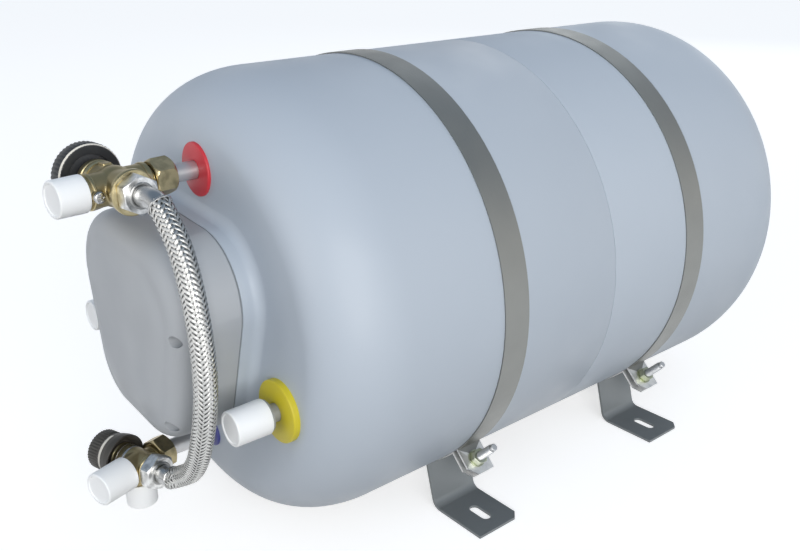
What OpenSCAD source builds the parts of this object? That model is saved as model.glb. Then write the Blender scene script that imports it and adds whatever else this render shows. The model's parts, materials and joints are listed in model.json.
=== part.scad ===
// Horizontal water heater for a caravan or camper: a stainless tank in foam inside a
// two-part plastic shell, held by steel straps on four feet, with a mixing valve, a
// safety valve and a braided hose between them on its front end.
// Frame: X to the right of someone facing the fittings, Y from the fittings to the rear,
// Z up, origin on the floor midway between the four fixing slots. Millimetres.

/* [Shell and foam] */
// Outside diameter of the shell
shell_d = 395; // [385:1:405]
// Length of the shell over both ends
shell_length = 600; // [580:1:640]
// Wall of the shell
shell_wall = 3; // [2:0.5:4]
// How far the rounded ends reach in from the side
corner_radial = 48; // [40:1:54]
// How far the rounded ends reach along the tank
corner_axial = 69; // [60:1:80]
// How far the shell's middle sits behind the middle of the straps
shell_shift = 4; // [0:1:10]
// Gap between the floor and the shell
floor_gap = 5.5; // [3:0.5:15]
// Turn of the tank in its straps, seen from the front
tank_turn = -4.5; // [-8:0.5:0]
// Length of the tongue that lines up the two shell halves, each way from the seam
tongue_length = 10; // [6:1:16]
// Thickness of that tongue
tongue_wall = 2.5; // [2:0.5:4]
// Foam between the shell's front wall and the inner tank's dished end
foam_front = 18; // [14:1:24]
// Foam between the shell's rear wall and the inner tank's dished end
foam_rear = 30; // [20:1:40]

/* [Inner tank and heating] */
// Wall of the inner tank
tank_wall = 2; // [1.5:0.5:3]
// Depth of the inner tank's dished ends
dish_depth = 45; // [38:1:52]
// Outside diameter of the water pipes and of the exchanger's tube
pipe_d = 15; // [14:0.5:16]
// Wall of those pipes
pipe_wall = 1; // [0.8:0.1:1.5]
// Radius on which the four pipes leave the front
port_pitch_r = 124.5; // [120:0.5:128]
// Angle of the right exchanger pipe, with its mirror image on the left
coil_angle = -18.5; // [-24:0.5:-12]
// How deep the straight part of a water pipe goes behind the front face
pipe_depth = 56; // [50:1:80]
// Bend radius of the water pipes inside the tank
pipe_bend_r = 14; // [12:1:20]
// Straight end of the water pipes after the bend
pipe_end = 9; // [5:1:12]
// Room between a water pipe's inner end and the tank's side
pipe_end_gap = 12.5; // [8:0.5:20]
// Radius of the exchanger coil
coil_r = 100; // [90:1:105]
// Distance between turns of the exchanger coil
coil_pitch = 38; // [30:1:42]
// Whole turns of the exchanger coil
coil_turns = 5; // [3:1:6]
// Where the exchanger's straight legs end, behind the front face
coil_leg = 76; // [70:1:90]
// Height of the heating element below the tank's axis
element_drop = 30; // [26:1:34]
// Radius of the element's screwed plug
plug_r = 20.8; // [18:0.1:22]
// Width across the flats of the element's head
head_af = 54; // [50:1:56]
// Thickness of the element's head
head_h = 10; // [8:1:12]
// Length of the heated loop inside the tank
loop_length = 270; // [200:1:320]
// Radius of the heated loop's tube
loop_tube_r = 4; // [3:0.5:5]
// Half the distance between the loop's two legs
loop_half = 10; // [8:1:12]
// Thickness of the element's gasket
gasket_h = 2; // [1:0.5:3]
// Height of the thermowell above the tank's axis
well_rise = 30; // [27:1:33]
// Length of the thermowell inside the tank
well_length = 210; // [150:1:240]
// Outside radius of the thermowell
well_r = 5; // [4.5:0.5:6]
// Thermostat body, width, height and depth
thermostat_size = [50, 30, 24]; // [20:1:60]
// Radius of the thermostat's sensing rod
rod_r = 3; // [2.5:0.1:3.5]
// Radius of the reset button
button_r = 4; // [3:0.5:5]
// Travel of the reset button
button_travel = 2.5; // [1.5:0.5:3]
// Terminal block, width, height and depth
block_size = [56, 15, 13]; // [10:1:60]

/* [Electrical cover] */
// Half the distance between the cover's upper corner centres
cover_top_x = 38; // [34:1:42]
// Height of the upper corner centres above the tank's axis
cover_top_v = 36; // [32:1:40]
// Radius of the upper corners
cover_top_r = 54; // [50:1:58]
// Half the distance between the cover's lower corner centres
cover_low_x = 28; // [25:1:32]
// Height of the lower corner centres, below the tank's axis
cover_low_v = -42; // [-46:1:-38]
// Radius of the lower corners
cover_low_r = 46; // [43:1:50]
// Height of the shell's raised base under the cover
base_h = 16; // [12:1:20]
// Depth of the cover's side wall
cover_side = 36; // [32:1:42]
// Radius of the cover's rounded front edge
cover_edge = 18; // [14:1:20]
// Rise of the cover's crowned front above that edge
cover_crown = 5; // [3:1:8]
// Draft of the cover's side
cover_draft = 2; // [1:0.5:3]
// Wall of the cover and of the raised base
cover_wall = 3; // [2:0.5:4]
// Radius of the screw wells in the cover
screw_well_r = 5; // [4.5:0.5:6]
// Radius of the cover screws' shanks
screw_r = 2; // [1.5:0.25:2.5]
// Radius of the service opening behind the cover
service_r = 62; // [60:1:63]
// Radius of the cable gland's threaded part
gland_r = 10; // [8:0.5:11]
// Radius of the cable that the gland takes
gland_cable_r = 4; // [3:0.5:5]

/* [Fittings] */
// Outside radius of the large pipe threads
thread_r = 13.2; // [12:0.1:14]
// Outside radius of the small pipe threads under the union and hose nuts
spigot_r = 10.4; // [9.5:0.1:11]
// Width across the flats of the union and hose nuts
nut_af = 27; // [26:1:30]
// Diameter of the red and blue collars
collar_d = 44; // [38:1:48]
// Thickness of the red and blue collars
collar_h = 3; // [2:0.5:4]
// Diameter of the yellow collars
ring_d = 52; // [44:1:54]
// Thickness of the yellow collars
ring_h = 6; // [4:0.5:8]
// Radius of the collars' sleeves in the shell
sleeve_r = 12; // [10:0.5:14]
// Wall of the white protective caps
cap_wall = 1; // [1:0.1:2]
// Length of the long protective caps
cap_length = 30; // [27:1:34]
// Distance from the front face to the right exchanger cap
coil_cap_stand = 16; // [12:1:20]
// How much further out the left exchanger cap sits
left_extra = 10; // [6:1:14]

/* [Mixing valve] */
// Distance from the front face to the union nut's back
mixer_stand = 24; // [20:1:28]
// Distance from the union nut's back to the valve's middle
mixer_reach = 46.5; // [44:0.5:52]
// Sideways turn of the valve
mixer_yaw = 6; // [0:1:10]
// Radius of the valve's body
mixer_r = 14.5; // [13.5:0.5:16]
// Distance from the valve's middle to the hose port's face
mixer_port = 27; // [25:1:30]
// Distance from the valve's middle to the outlet cap
mixer_outlet = 24; // [23:1:27]
// Radius of the valve's bonnet
mixer_bonnet_r = 16; // [14:0.5:18]
// Diameter of the temperature knob
mixer_knob_d = 54; // [50:1:58]
// Thickness of the temperature knob
mixer_knob_h = 14; // [12:1:18]
// Bore of the valve's chamber
mixer_bore_r = 9.5; // [9:0.1:10]
// Radius of both valves' spindles
spindle_r = 4; // [3.5:0.1:4.5]

/* [Safety valve] */
// Distance from the front face to the union nut's back
safety_stand = 46; // [42:1:50]
// Distance from the union nut's back to the valve's middle
safety_reach = 29; // [28.5:0.5:34]
// Sideways turn of the valve
safety_yaw = 17; // [12:1:20]
// Radius of the valve's body
safety_r = 13; // [12:0.5:14]
// Distance from the valve's middle to the hose port's face
safety_port = 14; // [13.5:0.5:17]
// Distance from the valve's middle to the inlet cap
inlet_stand = 15; // [15:0.5:18]
// Distance from the valve's middle down to the drain cap
drain_stand = 16; // [15:0.5:20]
// How far the drain sits towards the knob
drain_shift = 4; // [2:0.5:5]
// Outside radius of the drain's thread
drain_thread_r = 12.2; // [11:0.1:12.4]
// Length of the drain cap
drain_cap_length = 22; // [18:1:24]
// Diameter of the safety valve's knob
safety_knob_d = 38; // [36:1:40]
// Thickness of the safety valve's knob
safety_knob_h = 24; // [20:1:28]
// How far the safety valve's knob reaches over its body
safety_skirt = 5.5; // [4:0.5:5.5]
// Lift of the safety valve's disc when its knob is turned
disc_lift = 2; // [1:0.5:2.5]

/* [Braided hose] */
// Outside diameter of the braided hose
hose_d = 18; // [16:0.5:19]
// Radius of the crimped ferrules
ferrule_r = 9.8; // [9.6:0.1:11]
// Length of the crimped ferrules
ferrule_length = 10; // [8:1:14]
// Bend radius of both hose tails
tail_bend_r = 16; // [14:1:18]
// Downward turn of the upper hose tail
tail_top_turn = 50; // [45:1:55]
// Upward turn of the lower hose tail
tail_low_turn = 30; // [25:1:35]
// Straight part of the upper tail from the nut to its bend
tail_top_straight = 13; // [11:1:15]
// Straight part of the lower tail from the nut to its bend
tail_low_straight = 9; // [7:1:11]
// Thickness of the hose nuts
hose_nut_h = 12; // [10:1:14]

/* [Straps and feet] */
// Distance between the two straps
strap_pitch = 244; // [220:1:260]
// Width of the straps
strap_w = 27; // [24:1:30]
// Thickness of the straps
strap_t = 1; // [0.8:0.1:1.5]
// How far the strap lugs stand out
lug_length = 27; // [24:1:30]
// Thickness of the strap lugs
lug_t = 2; // [1.5:0.5:3]
// Clear gap between the two lugs of a joint
lug_gap = 6; // [3:0.5:8]
// Angle of the lugs below the tank's axis
lug_angle = 45; // [42:1:48]
// Radius of the clamp bolts
bolt_r = 4; // [3:0.5:4]
// How far the clamp bolts stand out above the upper lug
bolt_stand = 32; // [28:1:36]
// Width across the flats of the clamp nuts
bolt_af = 13; // [13:1:14]
// Distance between the right and left fixing slots
slot_pitch = 320; // [312:1:330]
// Half the width of a fixing slot
slot_r = 4.8; // [4:0.1:5.5]
// Length of a fixing slot
slot_length = 24; // [18:1:28]
// Width of a foot
foot_w = 50; // [46:1:56]
// Thickness of a foot
foot_t = 2.5; // [2:0.5:3]
// Distance from the slot's middle to the foot's outer edge
foot_toe = 26; // [22:1:30]
// Distance from the slot's middle to the bend's centre
foot_heel = 27.6; // [24:0.2:30]
// Inside radius of the foot's bend
foot_bend_r = 8; // [6:1:10]
// Inward lean of the foot's upright
foot_lean = 14.4; // [12:0.4:18]

/* [Fits] */
// Clearance of a running fit
slip = 0.1; // [0.05:0.01:0.1]
// Clearance between pieces that only lie beside each other
gap = 0.3; // [0.2:0.05:0.4]

/* [Hidden] */
$fn = 64;

// Shell and foam, along the tank's own axis with the front end positive
shell_r = shell_d / 2;
axis_z = shell_r + floor_gap;
front = shell_length / 2 - shell_shift;
rear = -shell_length / 2 - shell_shift;
seam = -shell_shift;
corner_steps = 24;

// Inner tank
tank_r = port_pitch_r + pipe_bend_r + pipe_end + pipe_end_gap;
tank_front = front - shell_wall - foam_front;
tank_rear = rear + shell_wall + foam_rear;
pipe_r = pipe_d / 2;
hot_angle = 90;
cold_angle = 270;
boss_top = tank_front + 8;
boss_root = 15;
element_boss_r = plug_r + 10;
well_boss_r = well_r + 7;
gasket_top = boss_top + gasket_h;
head_top = gasket_top + head_h;
well_hex_h = 5;
well_top = boss_top + well_hex_h;
rod_length = well_length - 60;
thermostat_top = well_top + gap + thermostat_size[2];
button_x = 14;
button_stand = 3;
block_v = cover_top_v + cover_top_r - 18;

// Cover
base_top = front + base_h;
seal_h = 1;
cover_bottom = base_top + seal_h;
cover_shoulder = base_top + cover_side;
cover_rim = cover_shoulder + cover_edge;
screw_places = [[74, 20], [54, -60], [-54, -60], [-74, 20]];
screw_head_r = screw_well_r - 1;
screw_seat = cover_shoulder + 3;
gland_v = 0;
gland_flange_af = 24;
gland_flange_h = 5;
gland_nut_h = 15;

// Ports and caps
cap_r = thread_r + gap + cap_wall;
drain_cap_r = drain_thread_r + gap + cap_wall;
cap_end = 1.5;
thread_length = cap_length - cap_end - 3;
drain_thread_length = drain_cap_length - cap_end - 3;
thread_bore_r = 9;
nut_back = 3;
nut_h = 18;
safety_rim = 1;
cold_nut_h = safety_reach - safety_r - safety_rim - gap;
union_collar_r = spigot_r - 0.8;
union_collar_h = 2.6;
washer_h = 1.8;
ball_len = nut_back + union_collar_h;
end_sleeve = 0.4;

// Where the two valves turn: the back of each union nut, on the pipe's axis
hot_pivot = [-port_pitch_r * sin(tank_turn), -front - mixer_stand,
             axis_z + port_pitch_r * cos(tank_turn)];
cold_pivot = [port_pitch_r * sin(tank_turn), -front - safety_stand,
              axis_z - port_pitch_r * cos(tank_turn)];

// Mixing valve, from its middle: hose port towards +x, tank towards +y
mixer_shoulder = -20;
mixer_bonnet_end = -35.2;
mixer_knob_face = mixer_bonnet_end - gap;
mixer_knob_end = mixer_knob_face - mixer_knob_h;
mixer_step = 15;
piston_from = -11;
piston_to = 2;
spindle_tip = -6;
knob_ribs = 48;

// Safety valve, from its middle: hose port towards +x, tank towards +y
safety_shoulder = -22;
safety_bore_r = 8;
seat_from = -8;
seat_to = -6;
seat_r = 4.5;
disc_r = 6.5;
safety_knob_face = safety_shoulder - 2 - gap;
safety_knob_end = safety_knob_face - safety_knob_h;
safety_skirt_room = 1;
safety_spindle_r = 3;
poppet_seat = -18;

// Hose tails, in the plane of each valve's hose port
tail_r = 8;
tail_bore_r = 5.5;
tail_collar_h = 2;
ferrule_lap = 1;
spigot_length = hose_nut_h - nut_back - tail_collar_h - washer_h;

// Braided hose: points along its middle line, chosen by hand, from the upper tail down
hose_r = hose_d / 2;
hose_points = [
    [92, -358.2, 304.5], [98.5, -358, 294], [104, -358, 282], [108.5, -358, 268.5],
    [112, -358, 253], [114.5, -358, 237], [115.5, -358, 220], [115, -358, 202],
    [112.5, -358, 184], [107.5, -358, 166], [100.5, -357.6, 148.5], [92, -356.6, 132.5],
    [82, -355.2, 117.5], [71, -353.8, 104.5], [60, -353.2, 94]
];

// Straps and feet
strap_in = shell_r + 0.2;
strap_out = strap_in + strap_t;
lug_from = lug_gap / 2;
lug_to = lug_from + lug_t;
lug_bolt_r = strap_out + lug_length / 2;
washer_t = 1.6;
washer_r = 8;
bolt_nut_h = 6.5;
bolt_head_h = 5.3;
slot_x = slot_pitch / 2;
foot_corner = 9;

function ellipse_end(r, reach_r, end, reach_w) =
    [for (i = [0 : corner_steps])
        let (q = 90 * i / corner_steps)
            [r - reach_r + reach_r * cos(q), end - reach_w + reach_w * sin(q)]];

function shell_half(inset, from, to) =
    let (way = sign(to - from), r = shell_r - inset)
        concat([[0, way * from], [r, way * from]],
               ellipse_end(r, corner_radial - inset, way * to - inset,
                           corner_axial - inset),
               [[0, way * to - inset]]);

function side_normal(a, ra, b, rb) =
    let (d = b - a, l = norm(d), k = (ra - rb) / l)
        k * d / l + sqrt(1 - k * k) * [-d[1], d[0]] / l;

function unit(v) = v / norm(v);

function arc_points(c, r, from, to, steps) =
    [for (i = [0 : steps])
        let (q = from + (to - from) * i / steps) c + r * [cos(q), sin(q)]];

function helix(r, pitch, turns, steps) =
    [for (i = [0 : turns * steps])
        [pitch * i / steps, r * cos(360 * i / steps), r * sin(360 * i / steps)]];

function coil_point(angle, r, w) = [r * cos(angle), r * sin(angle), w];

function tail_path(port, straight, turn) =
    let (bend_x = port + hose_nut_h + straight)
        [bend_x + tail_bend_r * sin(abs(turn)),
         sign(turn) * tail_bend_r * (1 - cos(turn))];

function tail_end(port, straight, turn) =
    tail_path(port, straight, turn) + ferrule_length * [cos(turn), sin(turn)];

function in_valve(pivot, yaw, reach, p) =
    pivot + [p[0] * cos(yaw) - (p[1] - reach) * sin(yaw),
             p[0] * sin(yaw) + (p[1] - reach) * cos(yaw), p[2]];

top_tail_end = tail_end(mixer_port, tail_top_straight, -tail_top_turn);
low_tail_end = tail_end(safety_port, tail_low_straight, tail_low_turn);
hose_route = concat(
    [in_valve(hot_pivot, mixer_yaw, mixer_reach, [top_tail_end[0], 0, top_tail_end[1]])],
    hose_points,
    [in_valve(cold_pivot, safety_yaw, safety_reach, [low_tail_end[0], 0, low_tail_end[1]])]);

// A tube swept along a path: each ring stands square to the path, laid out from sides
module swept(path, sides, r, corners, start = undef, end = undef) {
    last = len(path) - 1;
    points = [for (i = [0 : last])
        let (t = i == 0 && start != undef ? unit(start)
                 : i == last && end != undef ? unit(end)
                 : unit(path[min(i + 1, last)] - path[max(i - 1, 0)]),
             side = unit(cross(t, sides[i])), up = cross(side, t))
            for (j = [0 : corners - 1])
                let (q = 360 * j / corners)
                    path[i] + r * (cos(q) * side + sin(q) * up)];
    walls = [for (i = [0 : last - 1], j = [0 : corners - 1])
        let (a = i * corners + j, b = i * corners + (j + 1) % corners)
            each [[a, b, a + corners], [b, b + corners, a + corners]]];
    first_end = [[for (j = [0 : corners - 1]) corners - 1 - j]];
    last_end = [[for (j = [0 : corners - 1]) last * corners + j]];
    polyhedron(points, concat(walls, first_end, last_end));
}

// Local w runs forward along the tank's axis, v up and u to the right
module in_tank() {
    translate([0, 0, axis_z]) rotate([90, 0, 0]) rotate([0, 0, tank_turn]) children();
}

module at_port(angle) {
    in_tank() translate([port_pitch_r * cos(angle), port_pitch_r * sin(angle), 0]) children();
}

module at_mixer() {
    translate(hot_pivot) rotate([0, 0, mixer_yaw]) translate([0, -mixer_reach, 0]) children();
}

module at_safety() {
    translate(cold_pivot) rotate([0, 0, safety_yaw]) translate([0, -safety_reach, 0]) children();
}

module along_x(from, to, r) {
    translate([min(from, to), 0, 0]) rotate([0, 90, 0]) cylinder(h = abs(to - from), r = r);
}

module along_y(from, to, r) {
    translate([0, min(from, to), 0]) rotate([-90, 0, 0]) cylinder(h = abs(to - from), r = r);
}

module along_z(from, to, r) {
    translate([0, 0, min(from, to)]) cylinder(h = abs(to - from), r = r);
}

module hex_x(from, to, af) {
    translate([from, 0, 0]) rotate([0, 90, 0]) cylinder(h = to - from, r = af / sqrt(3), $fn = 6);
}

module hex_y(from, to, af) {
    translate([0, from, 0]) rotate([-90, 0, 0]) rotate([0, 0, 30])
        cylinder(h = to - from, r = af / sqrt(3), $fn = 6);
}

module ring(outer, inner, from, to) {
    difference() {
        along_z(from, to, outer);
        along_z(from - 1, to + 1, inner);
    }
}

// The cover's outline: four round corners and the lines that touch them
module cover_outline(inset) {
    a = [cover_top_x, cover_top_v];
    b = [cover_low_x, cover_low_v];
    ra = cover_top_r - inset;
    rb = cover_low_r - inset;
    n = side_normal(a, ra, b, rb);
    side = atan2(n[1], n[0]);
    right = concat(arc_points(a, ra, 90, side, 14), arc_points(b, rb, side, -90, 10));
    count = len(right);
    left = [for (i = [count - 1 : -1 : 0]) [-right[i][0], right[i][1]]];
    polygon(concat(right, left));
}

module cover_slice(inset, w) {
    translate([0, 0, w]) linear_extrude(height = 0.02) cover_outline(inset);
}

module cover_form(wall) {
    rim = cover_draft + cover_edge;
    hull() {
        cover_slice(wall, cover_bottom - (wall > 0 ? 1 : 0));
        for (q = [0 : 15 : 90])
            cover_slice(wall + cover_draft + (cover_edge - wall / 2) * (1 - cos(q)),
                        cover_shoulder - wall + cover_edge * sin(q));
        cover_slice(rim + wall / 2 + 10, cover_rim - wall + cover_crown * 0.6);
        cover_slice(rim + wall / 2 + 20, cover_rim - wall + cover_crown - 0.02);
    }
}

module tank_form(inset) {
    r = tank_r - inset;
    depth = dish_depth - inset;
    front_end = ellipse_end(r, r, tank_front - inset, depth);
    rear_end = ellipse_end(r, r, -tank_rear - inset, depth);
    back = [for (i = [corner_steps : -1 : 0]) [rear_end[i][0], -rear_end[i][1]]];
    rotate_extrude() polygon(concat(back, front_end));
}

module front_shell() color("#B4BCC6") {
    in_tank() difference() {
        union() {
            rotate_extrude() polygon(shell_half(0, seam, front));
            translate([0, 0, front - 1]) linear_extrude(height = base_h + 1) cover_outline(0);
        }
        translate([0, 0, -gap]) rotate_extrude()
            polygon(shell_half(shell_wall, seam - 1, front + gap));
        translate([0, 0, front]) linear_extrude(height = base_h + 1) difference() {
            cover_outline(cover_wall);
            for (p = screw_places) translate(p) circle(r = screw_well_r);
        }
        translate([0, 0, front - 10]) cylinder(h = 30, r = service_r);
        for (a = [hot_angle, cold_angle, coil_angle, 180 - coil_angle])
            translate([port_pitch_r * cos(a), port_pitch_r * sin(a), front - 10])
                cylinder(h = 20, r = sleeve_r + slip);
        for (p = screw_places)
            translate([p[0], p[1], front + 1]) cylinder(h = base_h, r = screw_r + slip);
    }
}

module rear_shell() color("#B4BCC6") {
    tongue_r = shell_r - shell_wall - gap;
    in_tank() {
        difference() {
            mirror([0, 0, 1]) rotate_extrude() polygon(shell_half(0, seam, rear));
            mirror([0, 0, 1]) rotate_extrude()
                polygon(shell_half(shell_wall, seam + 1, rear));
        }
        ring(tongue_r, tongue_r - tongue_wall, seam - tongue_length, seam + tongue_length);
        ring(shell_r - shell_wall + 0.5, tongue_r - tongue_wall, seam - tongue_length, seam);
    }
}

module insulation() color("#E8D9A8") in_tank() {
    inset = shell_wall + gap;
    tongue_in = shell_r - shell_wall - tongue_wall - 2 * gap;
    difference() {
        union() {
            rotate_extrude() polygon(shell_half(inset, seam, front));
            mirror([0, 0, 1]) rotate_extrude() polygon(shell_half(inset, seam, rear));
        }
        tank_form(-gap);
        ring(shell_r, tongue_in, seam - tongue_length - gap, seam + tongue_length + gap);
        translate([0, 0, tank_front - dish_depth]) cylinder(h = 200, r = service_r);
        for (a = [hot_angle, cold_angle, coil_angle, 180 - coil_angle])
            translate([port_pitch_r * cos(a), port_pitch_r * sin(a), 0]) {
                cylinder(h = front, r = pipe_r + gap);
                translate([0, 0, front - shell_wall - 6]) cylinder(h = 12, r = sleeve_r + gap);
            }
    }
}

module inner_tank() color("#C9CCD0") in_tank() difference() {
    union() {
        tank_form(0);
        translate([0, -element_drop, boss_top - boss_root])
            cylinder(h = boss_root, r = element_boss_r);
        translate([0, well_rise, boss_top - boss_root]) cylinder(h = boss_root, r = well_boss_r);
    }
    tank_form(tank_wall);
    translate([0, -element_drop, boss_top - 40]) cylinder(h = 60, r = plug_r + slip);
    translate([0, well_rise, boss_top - 40]) cylinder(h = 60, r = well_r + slip);
    for (a = [hot_angle, cold_angle, coil_angle, 180 - coil_angle])
        translate([port_pitch_r * cos(a), port_pitch_r * sin(a), tank_front - dish_depth])
            cylinder(h = dish_depth + 10, r = pipe_r + slip);
}

// A straight piece of pipe along w, open at both ends
module pipe_piece(from, to, r, bore) {
    difference() {
        along_z(from, to, r);
        along_z(from - 1, to + 1, bore);
    }
}

// A bent piece of pipe that leaves the w axis at w = 0, heading back, and turns towards v
module pipe_bend(bend_r, r, bore, turn) {
    translate([0, bend_r, 0]) rotate([0, 90, 0]) rotate([0, 0, -90])
        rotate_extrude(angle = turn) translate([bend_r, 0]) difference() {
            circle(r = r);
            circle(r = bore);
        }
}

// One water pipe: from its bent end inside the tank to its union end at the valve
module water_pipe(angle, stand, yaw, up) at_port(angle) {
    start = front - pipe_depth;
    seat = front + stand;
    bore = pipe_r - pipe_wall;
    pipe_piece(start, seat, pipe_r, bore);
    translate([0, 0, seat]) rotate([0, 0, -tank_turn]) rotate([0, yaw, 0]) {
        pipe_piece(-0.5, ball_len, pipe_r + end_sleeve, bore + end_sleeve / 2);
        pipe_piece(nut_back, ball_len, union_collar_r, bore + end_sleeve / 2);
    }
    rotate([0, 0, up > 0 ? 0 : 180]) {
        translate([0, 0, start]) pipe_bend(pipe_bend_r, pipe_r, bore, 90);
        translate([0, pipe_bend_r, start - pipe_bend_r]) rotate([-90, 0, 0])
            pipe_piece(0, pipe_end, pipe_r, bore);
    }
}

module hot_pipe() color("#C9CCD0") water_pipe(hot_angle, mixer_stand, mixer_yaw, 1);

module cold_pipe() color("#C9CCD0") water_pipe(cold_angle, safety_stand, safety_yaw, -1);

// One end of the exchanger: its tube out of the tank and the threaded end under its cap
module coil_stub_form(stand) difference() {
    from = front - coil_leg;
    base = front + stand - 2;
    union() {
        translate([0, 0, from]) cylinder(h = base - from + 1, r = pipe_r);
        translate([0, 0, base]) cylinder(h = thread_length + 2, r = thread_r);
    }
    translate([0, 0, from - 1]) cylinder(h = base - from + 4, r = pipe_r - pipe_wall);
    translate([0, 0, base + 2]) cylinder(h = thread_length + 1, r = thread_bore_r);
}

module coil_stub_right() color("#C9CCD0") at_port(coil_angle) coil_stub_form(coil_cap_stand);

module coil_stub_left() color("#C9CCD0") at_port(180 - coil_angle)
    coil_stub_form(coil_cap_stand + left_extra);

// The exchanger: a leg in, whole turns backwards, half a turn more, and a leg out
module heat_exchanger() color("#B9BDC2") in_tank() {
    leg_end = front - coil_leg;
    elbow = 22;
    steps = 20;
    travel = 360 * coil_turns + 180 - 2 * coil_angle;
    count = ceil(travel * steps / 360);
    top_w = leg_end - 30 - elbow;
    low_w = top_w - coil_pitch * travel / 360;
    in_leg = [for (w = [leg_end, leg_end - 12]) coil_point(coil_angle, port_pitch_r, w)];
    in_bend = [for (q = [0 : 30 : 60])
        coil_point(coil_angle, port_pitch_r - (port_pitch_r - coil_r) * q / 90,
                   top_w + elbow * (1 - sin(q)))];
    turns = [for (i = [2 : count - 2])
        coil_point(coil_angle + travel * i / count, coil_r,
                   top_w - (top_w - low_w) * i / count)];
    out_bend = [for (q = [60 : -30 : 0])
        coil_point(180 - coil_angle, port_pitch_r - (port_pitch_r - coil_r) * q / 90,
                   low_w + elbow * (1 - sin(q)))];
    out_leg = [for (w = [low_w + elbow + 20 : 20 : leg_end - 10])
        coil_point(180 - coil_angle, port_pitch_r, w)];
    path = concat(in_leg, in_bend, turns, out_bend, out_leg,
                  [coil_point(180 - coil_angle, port_pitch_r, leg_end)]);
    swept(path, [for (p = path) unit([p[0], p[1], 0])], pipe_r, 8,
          [0, 0, -1], [0, 0, 1]);
}

module heating_element() color("#B08D4A") in_tank() translate([0, -element_drop, 0]) {
    legs_from = boss_top - loop_length;
    translate([0, 0, gasket_top]) cylinder(h = head_h, r = head_af / sqrt(3), $fn = 6);
    translate([0, 0, boss_top - boss_root]) cylinder(h = boss_root + gasket_h + 1, r = plug_r);
    for (s = [-1, 1]) {
        translate([s * loop_half, 0, legs_from])
            cylinder(h = loop_length - boss_root + 1, r = loop_tube_r);
        translate([s * loop_half, 0, head_top - 1]) cylinder(h = 9, r = 2.5);
    }
    translate([0, 0, legs_from]) rotate([-90, 0, 0]) rotate_extrude(angle = 180)
        translate([loop_half, 0]) circle(r = loop_tube_r);
}

module element_gasket() color("#2B2B2B") in_tank() translate([0, -element_drop, 0])
    ring(element_boss_r - 2, plug_r + gap, boss_top, gasket_top);

module thermowell() color("#C9CCD0") in_tank() translate([0, well_rise, 0]) difference() {
    union() {
        translate([0, 0, boss_top - well_length]) cylinder(h = well_length + 1, r = well_r);
        translate([0, 0, boss_top]) cylinder(h = well_hex_h, r = well_boss_r, $fn = 6);
    }
    translate([0, 0, boss_top - well_length + 2])
        cylinder(h = well_length + well_hex_h, r = rod_r + gap);
}

module thermostat() color("#E6E2D6") in_tank() translate([0, well_rise, 0]) difference() {
    union() {
        translate([-thermostat_size[0] / 2, -thermostat_size[1] / 2, well_top + gap])
            cube(thermostat_size);
        translate([0, 0, well_top + gap - rod_length]) cylinder(h = rod_length + 1, r = rod_r);
    }
    translate([button_x, 0, thermostat_top - 12]) cylinder(h = 20, r = button_r + gap);
}

module reset_button() color("#C8281E") in_tank()
    translate([button_x, well_rise, thermostat_top - 12 + button_travel + gap])
        cylinder(h = 12 - button_travel - gap + button_stand, r = button_r);

module terminal_block() color("#F2F0E8") in_tank() translate([0, block_v, front]) difference() {
    translate([-block_size[0] / 2, -block_size[1] / 2, 0]) cube(block_size);
    for (x = [-1 : 1]) {
        translate([x * block_size[0] / 3.4, 0, block_size[2] - 5]) cylinder(h = 10, r = 3);
        translate([x * block_size[0] / 3.4, 0, 5]) rotate([90, 0, 0])
            cylinder(h = 2 * block_size[1], r = 2, center = true);
    }
}

module cover() color("#AEB7C2") in_tank() difference() {
    union() {
        difference() {
            cover_form(0);
            cover_form(cover_wall);
        }
        for (p = screw_places) translate([p[0], p[1], cover_bottom])
            cylinder(h = screw_seat - cover_bottom + 6, r = screw_well_r + cover_wall - 0.5);
        gland_seat() cylinder(h = 6, r = gland_r + 5);
    }
    for (p = screw_places) {
        translate([p[0], p[1], screw_seat]) cylinder(h = 40, r = screw_well_r);
        translate([p[0], p[1], cover_bottom - 1]) cylinder(h = 60, r = screw_r + slip);
    }
    gland_seat() translate([0, 0, -5]) cylinder(h = 20, r = gland_r + slip);
}

module cover_seal() color("#3A3D40") in_tank() translate([0, 0, base_top])
    linear_extrude(height = seal_h) difference() {
        cover_outline(0.6);
        cover_outline(cover_wall);
    }

module cover_screws() color("#6E7275") in_tank() for (p = screw_places)
    translate([p[0], p[1], 0]) {
        translate([0, 0, front + 2]) cylinder(h = screw_seat - front - 1, r = screw_r);
        difference() {
            translate([0, 0, screw_seat]) cylinder(h = 3, r = screw_head_r);
            for (q = [0, 90]) rotate([0, 0, q])
                translate([-2.2, -0.5, screw_seat + 1.5]) cube([4.4, 1, 3]);
        }
    }

// The cable gland's axis: square to the cover's left side, from just inside its wall
module gland_seat() {
    a = [cover_top_x, cover_top_v];
    b = [cover_low_x, cover_low_v];
    n = side_normal(a, cover_top_r, b, cover_low_r);
    edge = a + cover_top_r * n;
    along = b + cover_low_r * n - edge;
    p = edge + along * (gland_v - edge[1]) / along[1];
    translate([-p[0] + 5 * n[0], p[1] - 5 * n[1], cover_bottom + cover_side / 2])
        rotate([0, 0, 180 - atan2(n[1], n[0])]) rotate([0, 90, 0]) children();
}

module gland_body() color("#4B4F54") in_tank() gland_seat() difference() {
    union() {
        translate([0, 0, -8]) cylinder(h = 14 + gland_flange_h + 6, r = gland_r);
        translate([0, 0, 6]) cylinder(h = gland_flange_h, r = gland_flange_af / sqrt(3), $fn = 6);
        translate([0, 0, -5]) cylinder(h = 5 - gap, r = gland_r + 3, $fn = 6);
    }
    translate([0, 0, -9]) cylinder(h = 14, r = gland_cable_r + 1);
    translate([0, 0, 4]) cylinder(h = 30, r = gland_cable_r + 3);
}

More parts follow.
